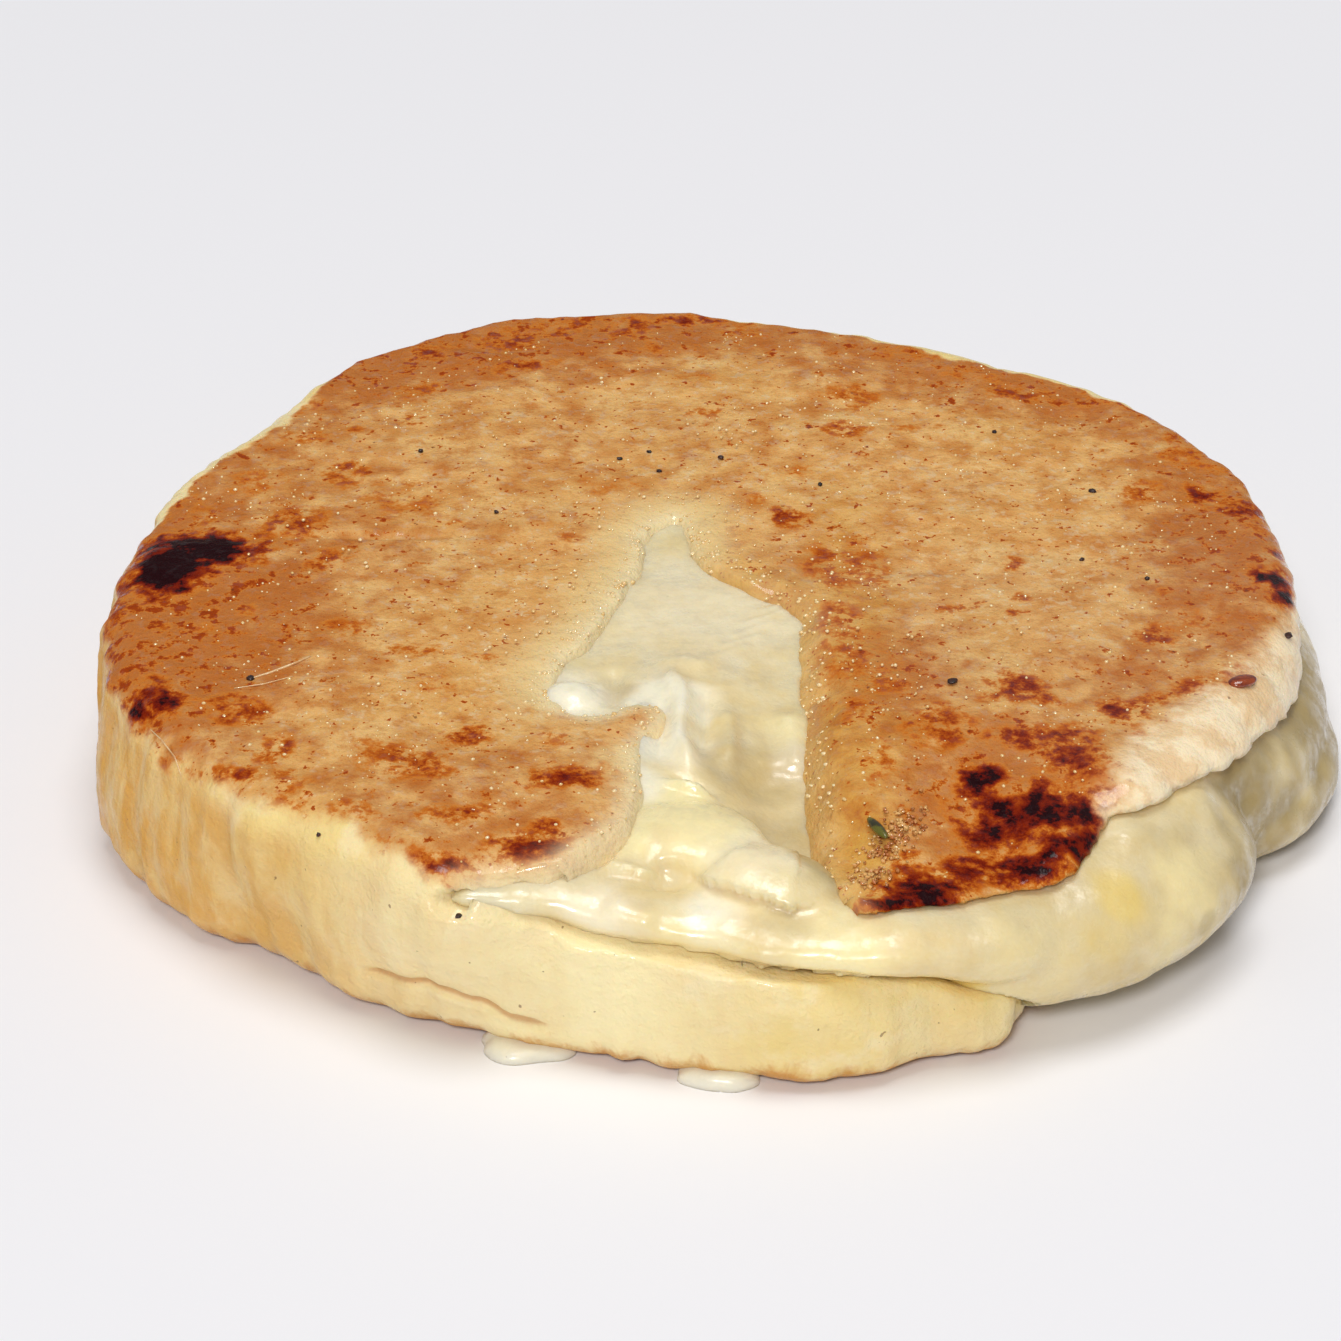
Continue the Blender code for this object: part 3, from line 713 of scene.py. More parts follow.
ROPE = ((-4.6, -17.4, 19.3), (-2.9, -18.2, 19.3), (-1.9, -22.7, 19.0), (-2.1, -29.3, 18.8),
        (-0.8, -35.4, 18.5))
LEFT_STRAND = ((-5.2, -22.7, 19.2), (-5.7, -29.4, 18.9), (-6.4, -36.5, 18.2))
FOLD_TOP = ((-4.6, -35.8, 18.5), (-3.6, -36.2, 18.5), (-1.0, -37.0, 18.4), (1.7, -38.0, 18.2),
            (4.6, -40.2, 17.6))
LOBE_EDGE = ((-1.4, -47.6, 15.6), (0.6, -49.6, 15.1), (4.0, -51.6, 14.2), (7.6, -53.0, 13.4),
             (10.6, -52.2, 13.4))

# Each row is a path, how wide the ridge is and how tall. A groove is a ridge less than nothing
# tall.
RIDGES = (
    (ROPE, 0.95, 1.5),
    (((-4.5, -16.0, 19.4), (-1.4, -15.8, 19.4), (1.2, -17.0, 19.3)), 1.2, 0.4),
    (((0.3, -19.5, 19.0), (0.4, -25.0, 18.8), (0.2, -31.5, 18.6)), 0.9, -0.9),
    (LEFT_STRAND, 0.85, 1.2),
    (((-3.7, -23, 19.0), (-4.0, -29.5, 18.8), (-3.8, -34, 18.4)), 0.6, -0.9),
    (((2.2, -22, 18.6), (2.6, -28, 18.3), (2.4, -33, 18.1)), 1.1, 0.7),
    (((-8.4, -16.5, 19), (-7.8, -20.0, 19), (-8.4, -24.5, 18.8)), 1.1, -0.9),
    (FOLD_TOP, 0.5, 0.95),
    ([(x, y + 1.3, z) for x, y, z in FOLD_TOP], 0.6, -0.5),
    (((-3.6, -46.6, 16.4), (-3.0, -50.5, 15.2)), 1.6, -0.7),
    (((0.0, -50.9, 14.5), (3.7, -52.9, 13.9), (8.0, -53.4, 13.6)), 1.0, -0.5),
    (((-6.6, -42.6, 17.2), (-6.0, -44.2, 16.9), (-4.6, -45.4, 16.8)), 1.2, 0.5),
    (((2.0, -45.6, 16.6), (5.6, -49.4, 15.8)), 1.3, 0.5),
    (((5.0, -30.5, 18.0), (6.6, -35.6, 17.4), (8.6, -40.4, 16.8)), 2.2, -1.2),
    (((7.8, -22.0, 18.6), (8.4, -28.0, 18.0), (9.4, -34.0, 17.6)), 1.2, 0.8),
    (((-17.8, -51.2, 18), (-14.4, -53.0, 17.6), (-11.5, -54.6, 17)), 1.6, 0.5),
    (((-8.8, -52.6, 16.6), (-3.9, -55.0, 15.4)), 1.4, 0.6),
    (((50.5, -26.5, 15), (53, -29.5, 11), (52.5, -31.0, 6), (50, -33, 3)), 2.2, -1.6),
    (((45.5, -38.3, 9.6), (46.5, -37.5, 9.0), (47.5, -36.5, 8.0)), 1.8, -0.8),
)
LEFT_LIP = ((-9.2, -47.6, 16.6), (-8.0, -48.2, 16.4), (-5.5, -49.0, 16.0), (-3.4, -48.6, 15.8))

out = points_of(cheese_mesh, "normal")
push = 0.30 * lumps(cheese, 9, 31) + 0.14 * lumps(cheese, 3.6, 32) + 0.05 * lumps(cheese, 1.6, 33)
push += lip(cheese, LEFT_LIP, 2.6, 1.1) + lip(cheese, LOBE_EDGE, 5.0, 1.7, 0.25)
for path, width, tall in RIDGES:
    push += ridge(cheese, path, width, tall)
for step in range(5):  # a fan of small wrinkles at the right of the tear
    x, y = 2.2 + 1.3 * step, -13.0 + 2.4 * step
    wrinkle = ((x - 2.6, y - 2.6, 19), (x, y - 0.8, 19), (x + 3.0, y + 1.8, 19))
    push += ridge(cheese, wrinkle, 0.45, 0.28)
cheese += out * push[:, None]

turn = np.degrees(np.arctan2(cheese[:, 1], cheese[:, 0]))
plan = np.hypot(cheese[:, 0], cheese[:, 1])
BEHIND_WALL = 51  # cheese lower than the slab's lip is drawn in to this radius, out of sight
hidden = (turn > -115) & (turn < -60) & (plan > BEHIND_WALL)
hidden &= cheese[:, 2] < crease_height(turn) + 0.12
cheese[:, :2] *= np.where(hidden, BEHIND_WALL / plan, 1)[:, None]

# %% [markdown]
# ### The cheese's colours
#
# Cheese is whitest where it is thick and cool, buttery where it is rich, oily yellow where its
# fat has come out, and greyish where it is thin. The grey blots are also painted shade: on the
# sides of the bulges that face away from the lamps, in a dimple and in the hollow under the yellow
# lobe. One white blot, on the lobe's top, is a painted highlight. Blots of each are laid on as
# soft balls.

# %% The cheese's fields
def blots(points, spots, seed):
    """The strongest of a set of soft balls at each point: centre, radius, strength."""
    field = np.zeros(len(points))
    edge = 0.3 * lumps(points, 3.0, seed)
    for x, y, z, radius, strength in spots:
        d = np.linalg.norm(points - (x, y, z), axis=1) / radius + edge
        field = np.maximum(field, strength * (1 - eased(d, 0.45, 1.2)))
    return field


BUTTERY = (
    (-2, -41, 18, 6.5, 0.75), (1, -44, 17.5, 6, 0.7), (6, -48, 16, 6.5, 0.35),
    (-6, -44, 17, 3.5, 0.8), (23, -53, 9, 3, 1), (44, -44, 12, 4.5, 1), (42, -47, 9, 3.5, 0.9),
    (-1, -55.5, 14, 5, 0.4), (12, -56, 13, 6, 0.6), (28, -53, 9, 7, 0.5), (8, -26, 18, 3, 0.4),
)
# White blots of thick cheese; the one on the yellow lobe's top, at (4, -47.5), is a painted
# highlight.
MILKY_AND_HIGHLIT = (
    (-1, -6, 19, 12, 0.4), (-12.2, -22, 19.5, 4.6, 1), (-3, -23, 19.5, 5, 1), (-4, -30, 19, 5, 1),
    (-5.5, -36, 18.5, 3, 0.9), (4, -47.5, 17, 5, 0.45), (0.8, -53, 14.5, 3.2, 1),
    (-17, -52.5, 17.5, 7, 0.15), (-9, -54, 16.5, 4, 0.7), (9, -30, 18, 3, 0.6),
)
# Grey blots: thin greyish cheese, and painted shade on the bulges' shaded right sides, in a dimple
# and under the yellow lobe.
THIN_GREY_AND_SHADE = (
    (-7.8, -21, 19, 2, 0.3), (5.5, -32, 18, 6, 0.4), (8, -39, 17, 5.5, 0.45),
    (12, -47, 15.8, 5, 0.7), (7, -54, 13.8, 3.4, 0.3), (46.5, -37.5, 9, 3, 1), (57, -8, 7, 15, 1),
    (52, -28, 8, 10, 1), (50, -34, 6, 9, 0.9), (40, -42, 4, 8, 0.35), (45, -44, 9, 1.8, 0.6),
    (32, -51, 10, 12, 0.25), (44, -43, 10, 11, 0.3),
)
OILY = (
    (37, -47, 13, 3.2, 0.6), (35.5, -49.5, 11, 3, 0.3), (23, -53, 9.5, 2.6, 0.8),
    (19, -54.5, 10.5, 2.4, 0.5), (-20, -54.5, 16, 1.6, 0.5), (3.5, -43.5, 17, 1.5, 0.3),
)
keep_fields(
    cheese_mesh, butter=blots(cheese, BUTTERY, 41), milk=blots(cheese, MILKY_AND_HIGHLIT, 42),
    grey=blots(cheese, THIN_GREY_AND_SHADE, 43), oil=blots(cheese, OILY, 44),
)
put_points(cheese_mesh, within_box(cheese))
into_place(cheese_mesh)
cheese_piece = closed_piece(cheese_mesh, "melted_cheese")
print("cheese piece:", len(cheese_mesh.polygons), "faces")

# %% [markdown]
# ## Drips at the foot
#
# Two small runs of cheese have set on the table against the foot of the cake. Each is a half
# ball, flattened and made lopsided with noise.

# %% Drips
def pool(name, centre, half, seed):
    bm = bmesh.new()
    bmesh.ops.create_icosphere(bm, subdivisions=5, radius=1)
    mesh = mesh_from(bm, name)
    p = points_of(mesh)
    spread = 1 + 0.28 * lumps(p * (1, 1, 0), 0.8, seed)
    p[:, 0] = centre[0] + half[0] * p[:, 0] * spread
    p[:, 1] = centre[1] + half[1] * p[:, 1] * spread
    p[:, 2] = half[2] * np.maximum(p[:, 2], 0) ** 0.8
    put_points(mesh, p)
    plain = 0 * spread
    keep_fields(mesh, butter=plain, milk=1.0 + plain, grey=plain, oil=plain)
    into_place(mesh)
    return closed_piece(mesh, name)


drip_left = pool("cheese_run_left", (-15.6, -50.6), (4.8, 3.0, 1.6), 51)
drip_front = pool("cheese_run_front", (1.6, -55.9), (3.7, 2.4, 1.6), 52)

# %% [markdown]
# ## Beads of fat
#
# The whole face glistens with tiny beads of melted fat and moisture, most of them by the tear.
# Each is a flattened ball of a few faces, half sunk in the dough, and they are joined into one
# piece. Their pale tint is partly a painted glint. Random numbers come from a seeded generator,
# so every run scatters them alike.

# %% Beads
def scattered(bm, spots, detail=1):
    """Adds a small rounded lump at each spot: its place, its size and its height."""
    for place, size, tall, turn_deg in spots:
        matrix = placed(place, turn_deg, (size, size * 0.8, tall))
        bmesh.ops.create_icosphere(bm, subdivisions=detail, radius=1, matrix=matrix)


def joined_piece(bm, name):
    mesh = mesh_from(bm, name)
    into_place(mesh)
    return closed_piece(mesh, name)


FACE_BEADS, EDGE_BEADS, CRUMBS = 2000, 260, 240
pick = random.Random(11)
ready = np.flatnonzero((station < FACE_END) & (torn > 0.2) & (plan_r < 54) & (heat < 0.7))
shine = 0.12 + wet[ready] + 0.3 * soak[ready] + 0.5 * pale[ready]
shine += 0.4 * eased(lumps(flat[ready], 9, 61), 0.1, 0.5)
shine *= plan_r[ready] / 30
chosen = pick.choices([int(i) for i in ready], weights=[float(w) for w in shine], k=FACE_BEADS)
beads = []
for i in chosen:
    size = 0.09 + 0.16 * pick.random() ** 3
    x, y = dough[i, 0] + pick.uniform(-0.3, 0.3), dough[i, 1] + pick.uniform(-0.3, 0.3)
    beads.append(((x, y, dough[i, 2] + 0.02), size, size * 0.8, pick.uniform(0, 180)))
edge = np.flatnonzero((station < FACE_END) & (torn > -0.4) & (torn < 2.0) & (dough[:, 1] > -40))
for i in pick.choices([int(i) for i in edge], weights=[float(r) for r in plan_r[edge]],
                      k=EDGE_BEADS):
    size = pick.uniform(0.1, 0.36)
    beads.append((dough[i], size, size * 0.6, pick.uniform(0, 180)))
bm = bmesh.new()
scattered(bm, beads)
bead_piece = joined_piece(bm, "fat_beads")
print("beads of fat:", len(beads))

# %% [markdown]
# ## Crumbs, char and an olive sliver
#
# Where the scorched flap broke away from the rest, its edge is crumbly. Small flakes of char lie
# about on the face, and a sliver of green olive shows at the broken edge.

# %% Crumbs and flakes
def face_height(x, y):
    near = int(np.argmin(np.hypot(dough[:, 0] - x, dough[:, 1] - y) + 9 * (dough[:, 2] < 13)))
    return float(dough[near, 2])


def rough_bits(name, spots, rough):
    bm = bmesh.new()
    scattered(bm, spots, 2)
    for vert in bm.verts:
        vert.co += Vector([pick.uniform(-rough, rough) for _ in range(3)])
    return joined_piece(bm, name)


CRUMB_EDGE = ((13.4, -50.2, 16.2), (14.4, -48.4, 17.2), (15.4, -46.4, 17.8), (16.0, -44.4, 18.4),
              (17.0, -42.6, 18.8), (18.2, -41.0, 19.3))
crumbs = []
for _ in range(CRUMBS):
    t = pick.random() * (len(CRUMB_EDGE) - 1)
    i = int(t)
    spot = Vector(CRUMB_EDGE[i]).lerp(Vector(CRUMB_EDGE[i + 1]), t - i)
    spot.x += pick.gauss(0.8, 0.9)
    spot.y += pick.gauss(0, 0.9)
    spot.z = face_height(spot.x, spot.y) + pick.uniform(-0.1, 0.35)
    size = pick.uniform(0.12, 0.30)
    crumbs.append((spot, size, size * pick.uniform(0.5, 0.9), pick.uniform(0, 180)))
crumb_piece = rough_bits("broken_crumbs", crumbs, 0.07)

FLAKES = (
    (2.2, 23.5, 0.35), (39, 17, 0.45), (55.8, -9.3, 0.55), (-34.2, -44.6, 0.25),
    (-21.5, -53.4, 0.4), (-42, -19.4, 0.5), (23.3, -21.3, 0.55), (37, 3, 0.3), (-8, 24, 0.3),
    (-5, 25, 0.3), (-4, 21, 0.3), (30, 30, 0.3), (-20, 12, 0.25), (12, 18, 0.3), (-28, 25, 0.3),
    (43, -1, 0.3),
)
flakes = []
for x, y, size in FLAKES:
    flakes.append(((x, y, face_height(x, y) + 0.08), size, 0.16, pick.uniform(0, 180)))
flake_piece = rough_bits("char_flakes", flakes, 0.06)

# %% Threads, the drop and the sliver
def strand(bm, points, thick):
    """A thin tube through some points: a cylinder cut into rings, each ring put on the path."""
    before = len(bm.verts)
    ringed_tube(bm, 8, 14)
    bm.verts.ensure_lookup_table()
    path = [Vector(point) for point in points]
    for vert in bm.verts[before:]:
        t = (vert.co.z + 0.5) * (len(path) - 1)
        i = min(int(t), len(path) - 2)
        at, along_it = path[i].lerp(path[i + 1], t - i), (path[i + 1] - path[i]).normalized()
        side = along_it.cross(Vector((0, 0, 1))).normalized()
        grip = thick * (1 - 0.6 * abs(2 * vert.co.z) ** 3)
        vert.co = at + (side * vert.co.x + side.cross(along_it) * vert.co.y) * grip


THREADS = (
    ((-51.0, -25.5), (-49.6, -28.2), (-48.2, -30.6), (-47.4, -32.4)),
    ((-42.2, -19.6), (-40.2, -18.6), (-37.8, -17.2), (-36.6, -16.2)),
    ((-43.4, -21.2), (-40.6, -20.8), (-38.0, -19.6)),
)
bm = bmesh.new()
for thread, thick in zip(THREADS, (0.07, 0.13, 0.08)):
    strand(bm, [(x, y, face_height(x, y) + thick * 0.6) for x, y in thread], thick)
bmesh.ops.recalc_face_normals(bm, faces=bm.faces)
thread_piece = joined_piece(bm, "cheese_threads")

bm = bmesh.new()
drop = placed((50.4, -19.6, face_height(50.4, -19.6)), 25, (1.5, 0.9, 0.5))
bmesh.ops.create_icosphere(bm, subdivisions=4, radius=1, matrix=drop)
drop_piece = joined_piece(bm, "syrupy_drop")

bm = bmesh.new()
sliver = placed((15.6, -43.6, 18.5), -66, (1.9, 0.5, 0.4))
bmesh.ops.create_uvsphere(bm, u_segments=24, v_segments=12, radius=1, matrix=sliver)
olive_piece = joined_piece(bm, "olive_sliver")

# %% [markdown]
# ## Shader sums
#
# Materials are made of nodes. Writing them as sums in Python keeps them readable: a Wire wraps a
# socket, and adding or multiplying wires adds Math nodes.

# %% Wires and paint
class Wire:
    def __init__(self, paint, socket):
        self.paint, self.socket = paint, socket

    def sum(self, kind, first, second):
        return self.paint.node("Math", {"operation": kind}, {0: first, 1: second})

    def __add__(self, other):
        return self.sum("ADD", self, other)

    def __sub__(self, other):
        return self.sum("SUBTRACT", self, other)

    def __mul__(self, other):
        return self.sum("MULTIPLY", self, other)

    def __rsub__(self, other):
        return self.sum("SUBTRACT", other, self)

    __radd__ = __add__
    __rmul__ = __mul__

    def most(self, other):
        return self.sum("MAXIMUM", self, other)


class Paint:
    """A material, and one way to add a node to it."""

    def __init__(self, name, **sockets):
        self.material = bpy.data.materials.new(name)
        self.material.use_nodes = True
        self.tree = self.material.node_tree
        self.shader = self.tree.nodes["Principled BSDF"]
        for socket, value in sockets.items():
            self.put(socket.replace("_", " "), value)
        self.place = self.node("TexCoord", output="Object")

    def put(self, socket, value):
        target = self.shader.inputs[socket]
        if isinstance(value, Wire):
            self.tree.links.new(value.socket, target)
        else:
            target.default_value = value

    def node(self, kind, settings=(), sockets=(), output=0):
        made = self.tree.nodes.new("ShaderNode" + kind)
        for name, value in dict(settings).items():
            if name == "stops":
                ramp = made.color_ramp
                for at, colour in value[2:]:
                    ramp.elements.new(at)
                for element, (at, colour) in zip(ramp.elements, sorted(value)):
                    element.position, element.color = at, colour
            else:
                setattr(made, name, value)
        for name, value in dict(sockets).items():
            if isinstance(value, Wire):
                self.tree.links.new(value.socket, made.inputs[name])
            else:
                made.inputs[name].default_value = value
        return Wire(self, made.outputs[output])

    def field(self, name):
        return self.node("Attribute", {"attribute_name": name}, output="Fac")

    def noise(self, size_mm, detail=3.0, rough=0.55, warp=0.0, squash=None):
        """Noise from about 0 to 1 whose lumps are of the size given."""
        place = self.place
        if squash:
            place = self.node("VectorMath", {"operation": "MULTIPLY"}, {0: place, 1: squash})
        return self.node("TexNoise", {}, {
            "Vector": place, "Scale": 1000 / size_mm, "Detail": detail, "Roughness": rough,
            "Distortion": warp,
        }, output=0)

    def span(self, wire, low, high, to_low=0.0, to_high=1.0):
        """Eases a wire's values from low..high to to_low..to_high."""
        return self.node("MapRange", {"interpolation_type": "SMOOTHSTEP"}, {
            "Value": wire, "From Min": low, "From Max": high, "To Min": to_low, "To Max": to_high,
        })

    def blend(self, share, first, second):
        """Two colours mixed, each a wire or a shade as it shows on a screen."""
        first, second = (shade(*c) if isinstance(c, tuple) else c for c in (first, second))
        return self.node("Mix", {"data_type": "RGBA"}, {0: share, 6: first, 7: second}, output=2)

    def layers(self, base, *coats):
        """Colours laid one over another, each with the share of the place that it covers."""
        for share, colour in coats:
            base = self.blend(share, base, colour)
        return base

    def ramp(self, wire, *stops):
        stops = tuple((at, shade(*colour)) for at, colour in stops)
        return self.node("ValToRGB", {"stops": stops}, {0: wire})

    def bump(self, height, mm, under=None):
        sockets = {"Height": height, "Distance": mm / 1000, "Strength": 1.0}
        if under is not None:
            sockets["Normal"] = under
        return self.node("Bump", {}, sockets)


def shade(red, green, blue):
    """A colour given as it shows on a screen, 0 to 255, turned to the light it stands for."""
    linear = [c / 12.92 if c <= 0.04045 else ((c + 0.055) / 1.055) ** 2.4
              for c in (red / 255, green / 255, blue / 255)]
    return (*linear, 1.0)


# %% [markdown]
# ## The finish of the dough
#
# Corn dough is creamy inside. Its griddled face is the colour of shortbread, mottled with orange
# and brown, and where the fat of the cheese has soaked in it turns yellow and glossy. The heat
# field drives a ramp from gold through toffee to black, after noise has broken up its edges.

# %% Dough finish
def dough_finish():
    p = Paint("griddled_corn_dough", Roughness=0.5, IOR=1.35, Specular_IOR_Level=0.08,
              Subsurface_Weight=0.2, Subsurface_Radius=(1.0, 0.55, 0.25), Subsurface_Scale=0.002,
              Coat_Roughness=0.08, Coat_IOR=1.5)
    toast, warm, crust, soak, wet, rim, lift, left, under = map(
        p.field, ("toast", "warm", "crust", "soak", "wet", "rim", "lift", "left", "under"))
    broad, patchy = p.noise(14, 3), p.noise(4, 6, 0.62)
    ragged, fine, tiny = p.noise(2.2, 8, 0.7), p.noise(1.0, 3, 0.6), p.noise(0.45, 2)

    uneven = (patchy - 0.5) * 1.1 + (ragged - 0.5) * 0.9
    face = p.layers(
        p.blend(p.span(patchy, 0.38, 0.62), (226, 176, 110), (208, 146, 78)),
        (p.span(broad, 0.42, 0.60) * 0.45, (216, 164, 92)),
        (p.span(p.noise(7, 5, 0.6), 0.50, 0.64) * 0.55, (226, 186, 124)),
        (p.span(ragged, 0.50, 0.66) * 0.5, (190, 112, 40)),
        (p.span(fine, 0.52, 0.68) * 0.5, (242, 212, 160)),
        (p.span(fine, 0.47, 0.34) * 0.4, (188, 124, 60)),
        (soak * p.span(patchy, 0.38, 0.60, 0.5, 0.9), (214, 162, 72)),
        (p.span(warm + uneven * 0.8, 0.04, 0.56) * 0.85, (178, 98, 38)),
    )

    breakup = ragged * 0.6 + patchy * 0.15 + fine * 0.25
    solid = p.span(toast, 0.6, 1.1, 0.10, 0.62)
    amount = toast * (solid + (1.12 - solid) * p.span(breakup, 0.39, 0.62))
    amount = amount + p.span(toast, 1.25, 1.4, 0.0, 0.3)
    amount = amount.most(rim * p.span(breakup, 0.42, 0.60, 0.0, 0.36))
    amount = amount.most(p.span(p.noise(0.8, 2), 0.65, 0.71) * 0.45)
    amount = amount.most(p.span(p.noise(1.8, 5, 0.65) + warm * 0.22, 0.64, 0.76) * 0.5)
    brown = p.ramp(
        amount, (0.0, (208, 138, 66)), (1.0, (34, 6, 10)), (0.16, (204, 126, 48)),
        (0.32, (188, 98, 26)), (0.50, (154, 60, 10)), (0.68, (126, 34, 7)), (0.86, (96, 18, 9)))
    face = p.layers(
        face, (p.span(amount, 0.05, 0.26), brown),
        (p.span(p.field("pale") + (ragged - 0.5) * 0.5, 0.25, 0.95) * 0.85, (230, 200, 140)),
        # Wet dough by the tear, and a painted highlight along the slab's top edge.
        (wet * 0.8, (240, 222, 176)))

    streaks = p.noise(3.0, 4, 0.6, 0.6, squash=(1, 1, 0.35))
    band = p.field("band")
    foot = p.span(lift + (fine - 0.5) * 0.12 + (streaks - 0.5) * 0.3, 0.15, 0.02)
    wall = p.layers(
        p.blend(p.span(broad, 0.38, 0.62), (240, 220, 166), (238, 212, 140)),
        (p.span(streaks, 0.45, 0.70) * 0.45, (232, 200, 140)),
        (p.span(p.noise(6, 4, 0.6), 0.50, 0.66) * 0.4, (248, 234, 196)),
        # Paler front-left wall: partly the dough's own tone, partly a painted highlight.
        (p.field("fair") * p.span(broad, 0.36, 0.56, 0.3, 0.9), (252, 236, 186)),
        # Darker orange on the left-facing wall: partly the dough's tone, partly painted shade.
        (left * p.span(streaks, 0.3, 0.6, 0.5, 1.0), (218, 162, 76)),
        (p.span(p.field("crack"), 0.4, 0.9) * 0.6, (190, 122, 54)),
        (band * 0.85, p.blend(p.span(patchy, 0.42, 0.6), (250, 230, 196), (234, 200, 156))),
        (foot * 0.85, (206, 138, 50)),
    )
    griddled = p.blend(p.span(patchy, 0.4, 0.6), (206, 140, 66), (150, 78, 30))
    whole = p.layers(
        wall, (p.span(crust + (fine - 0.5) * 0.4, 0.15, 0.85), face),
        (p.span(under + (p.noise(6, 5, 0.6) - 0.5), 0.3, 0.8), griddled),
        (p.span(p.noise(0.9, 2, 0.5), 0.735, 0.77) * 0.6, (96, 52, 26)))
    p.put("Base Color", whole)
    p.put("Roughness", p.span(amount, 0.2, 0.8, 0.5, 0.4))
    gloss = p.span(broad * 0.5 + patchy * 0.5, 0.42, 0.6, 0.05, 0.6) * (1 - crust)
    glints = crust * p.span(fine, 0.53, 0.64, 0.0, 0.9) * p.span(amount, 0.5, 0.9, 1.0, 0.3)
    p.put("Coat Weight", gloss + band * 0.5 + wet * 0.6 + glints)
    small = p.bump(p.noise(2.6, 3, 0.5), 0.35)
    small = p.bump(fine, 0.15, small)
    p.put("Normal", p.bump(tiny, 0.15, small))
    return p.material


# %% [markdown]
# ## The finish of the cheese
#
# Cheese lets light in and scatters it, so it looks soft, and its wet skin is glossy. Its four
# tints are laid over a cream ground by the fields made above.

# %% Cheese finish
def cheese_finish():
    p = Paint("melted_white_cheese", Roughness=0.3, IOR=1.45, Subsurface_Weight=0.5,
              Subsurface_Radius=(1.0, 0.85, 0.6), Subsurface_Scale=0.003, Coat_Roughness=0.15,
              Coat_IOR=1.55)
    cloud = p.noise(5, 4, 0.6, 0.3)
    tint = p.layers(
        p.blend(p.span(cloud, 0.35, 0.65), (232, 216, 174), (228, 206, 152)),
        (p.field("butter"), (255, 238, 182)),
        # The milk tint is white cheese, and on the yellow lobe's top a painted highlight.
        (p.field("milk"), (252, 240, 212)),
        # The grey tint is partly thin cheese and partly painted shade.
        (p.field("grey") * 0.9, (162, 140, 90)),
        (p.field("oil") * 0.9, (234, 204, 104)),
        (p.span(p.noise(1.1, 2, 0.5), 0.78, 0.81) * 0.3, (170, 140, 96)),
    )
    p.put("Base Color", tint)
    p.put("Roughness", p.span(cloud, 0.3, 0.7, 0.24, 0.42))
    p.put("Coat Weight", p.span(p.noise(1.5, 4, 0.65), 0.42, 0.62, 0.05, 0.9))
    skin = p.bump(p.noise(2.6, 3, 0.5), 0.18)
    p.put("Normal", p.bump(p.noise(0.7, 2, 0.5), 0.05, skin))
    return p.material


dough_paint, cheese_paint = dough_finish(), cheese_finish()
dough_mesh.materials.append(dough_paint)
for piece in (cheese_piece, drip_left, drip_front):
    piece.data.materials.append(cheese_paint)


# %% [markdown]
# ## The finish of the small pieces
#
# One short function serves them all: two tints mottled together, a roughness and a coat.

# %% Small finishes
def mottled(name, first, second, size_mm, roughness, coat):
    p = Paint(name, Coat_Weight=coat, Coat_Roughness=0.06, Subsurface_Weight=0.1,
              Subsurface_Scale=0.001)
    grain = p.noise(size_mm, 3, 0.6)
    p.put("Base Color", p.blend(p.span(grain, 0.4, 0.6), first, second))
    p.put("Roughness", p.span(grain, 0.3, 0.7, roughness, roughness + 0.1))
    p.put("Normal", p.bump(grain, size_mm * 0.1))
    return p.material


SMALL_FINISHES = (
    # The beads' pale tints are fat, and partly painted glints.
    (bead_piece, "melted_fat", (248, 222, 172), (232, 192, 126), 3.0, 0.08, 1.0),
    (crumb_piece, "broken_dough", (230, 176, 104), (186, 108, 44), 1.3, 0.4, 0.8),
    (flake_piece, "char", (60, 26, 14), (24, 10, 8), 0.6, 0.45, 0.2),
    (thread_piece, "drawn_cheese", (232, 196, 146), (210, 160, 104), 2.0, 0.25, 0.8),
    (drop_piece, "browned_fat", (150, 62, 14), (108, 34, 8), 1.0, 0.1, 1.0),
    (olive_piece, "green_olive", (96, 94, 20), (44, 42, 10), 1.6, 0.3, 0.5),
)
for piece, *finish in SMALL_FINISHES:
    piece.data.materials.append(mottled(*finish))

# %% [markdown]
# ## The table, the light and the camera
#
# A plain pale table, a soft sky all round, one broad lamp overhead, and a stronger one high in
# front and a little to the left. The long lens stands half a metre away and looks down by 30
# degrees.

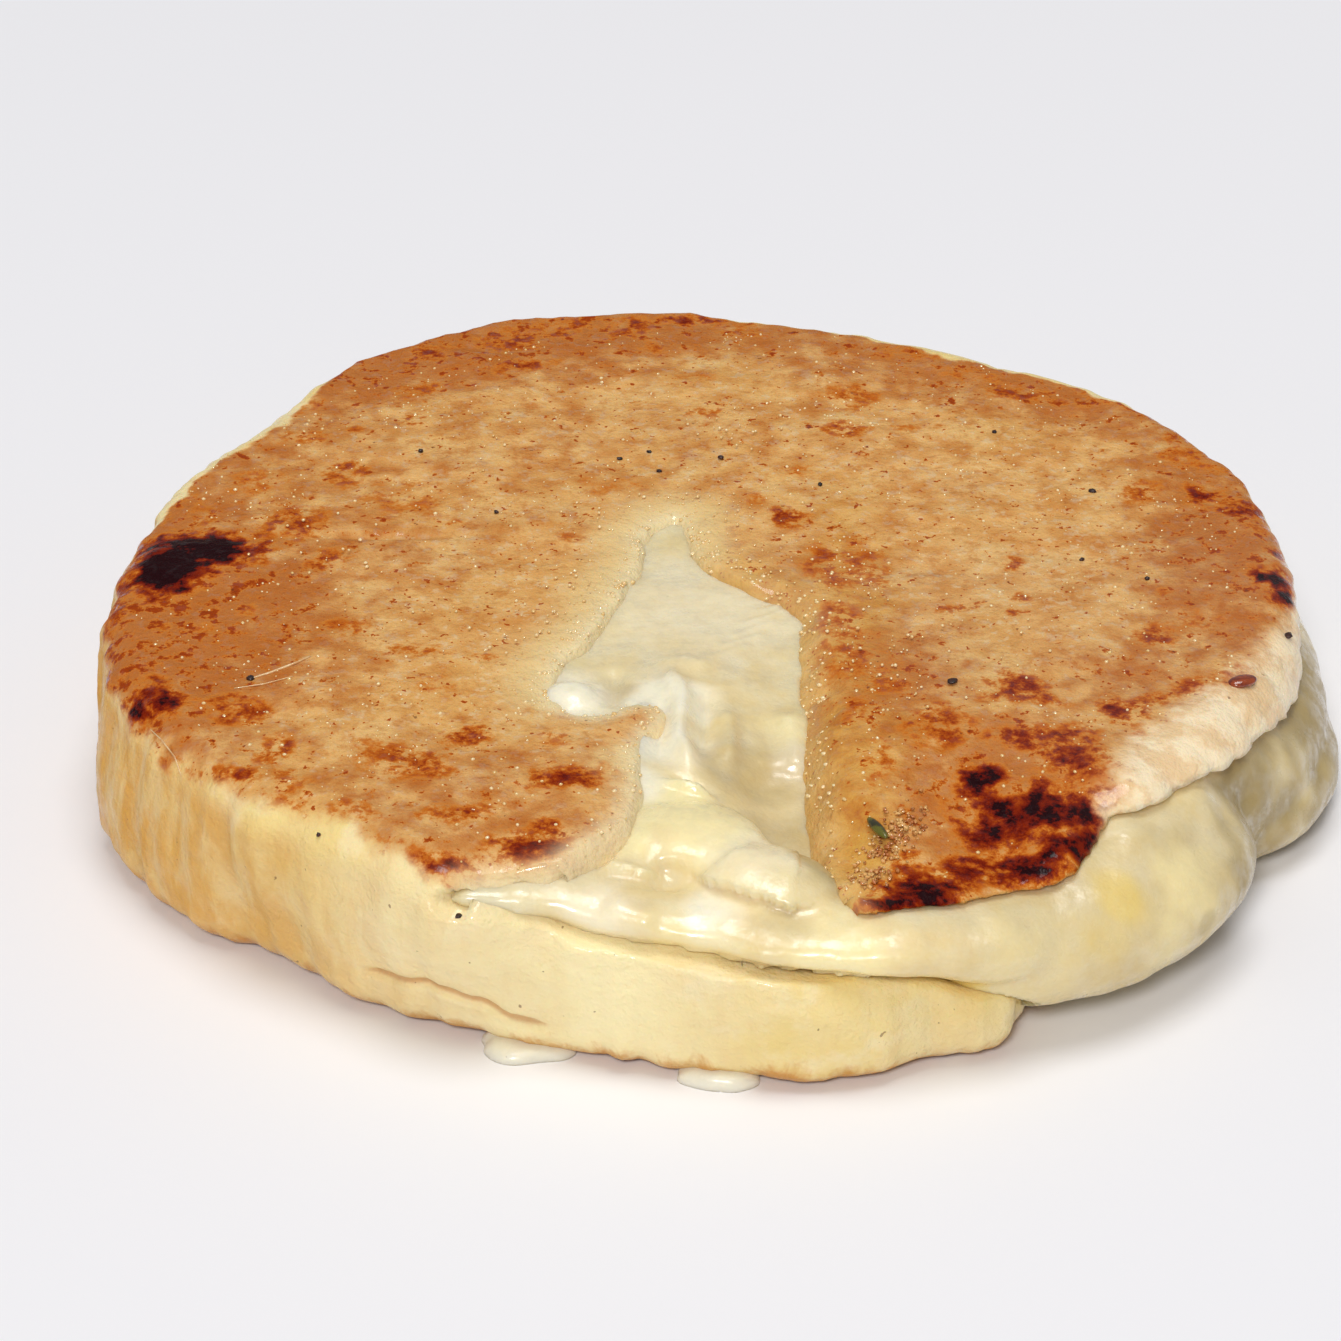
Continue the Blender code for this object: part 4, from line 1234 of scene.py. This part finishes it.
# %% Stage
def stage():
    bm = bmesh.new()
    bmesh.ops.create_grid(bm, x_segments=1, y_segments=1, size=3.0)
    table = shown("table_top", mesh_from(bm, "table_top"))
    p = Paint("pale_table", Roughness=0.75)
    p.put("Base Color", p.blend(p.noise(400), (240, 240, 244), (243, 242, 246)))
    table.data.materials.append(p.material)


def lamp(name, place, aim, size, watts, tint):
    light = bpy.data.lights.new(name, "AREA")
    light.shape, light.size, light.energy, light.color = "DISK", size, watts, tint
    thing = shown(name, light)
    thing.location = place
    thing.rotation_euler = (Vector(aim) - Vector(place)).to_track_quat("-Z", "Y").to_euler()


stage()
world = bpy.data.worlds.new("soft_sky")
bpy.context.scene.world = world
world.use_nodes = True
sky = world.node_tree.nodes["Background"].inputs
sky["Color"].default_value, sky["Strength"].default_value = (0.97, 0.98, 1.0, 1), 0.27
lamp("overhead", (0.1, -0.1, 2.0), (0, 0, 0), 1.1, 18.0, (1.0, 0.995, 0.98))
lamp("high_in_front", (-0.5, -3.0, 2.5), (0, 0, 0.01), 0.8, 72.0, (1.0, 0.985, 0.965))

LENS_MM, CAMERA_AWAY, TILT = 138.01, 0.5, math.radians(30)
camera = shown("camera", bpy.data.cameras.new("camera"))
camera.data.lens, camera.data.sensor_width = LENS_MM, 36.0
camera.data.clip_start = 0.02
aim = Vector((-0.004473, -0.001241, 0.010))
camera.location = aim + CAMERA_AWAY * Vector((0, -math.cos(TILT), math.sin(TILT)))
camera.rotation_euler = (math.radians(90) - TILT, 0, 0)
bpy.context.scene.camera = camera
bpy.context.scene.view_settings.view_transform = "Standard"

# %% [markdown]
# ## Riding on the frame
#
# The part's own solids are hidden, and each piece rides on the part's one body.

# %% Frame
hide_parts("corn_cake")
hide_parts("cheese_filling")
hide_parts("cheese_drip_left")
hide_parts("cheese_drip_front")
for piece, slot in ((dough_piece, "corn_cake"), (cheese_piece, "cheese"), (drip_left, "cheese"),
                    (drip_front, "cheese"), (bead_piece, "cheese"), (crumb_piece, "corn_cake"),
                    (flake_piece, "corn_cake"), (olive_piece, "corn_cake"),
                    (thread_piece, "cheese"), (drop_piece, "corn_cake")):
    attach(piece, "root")
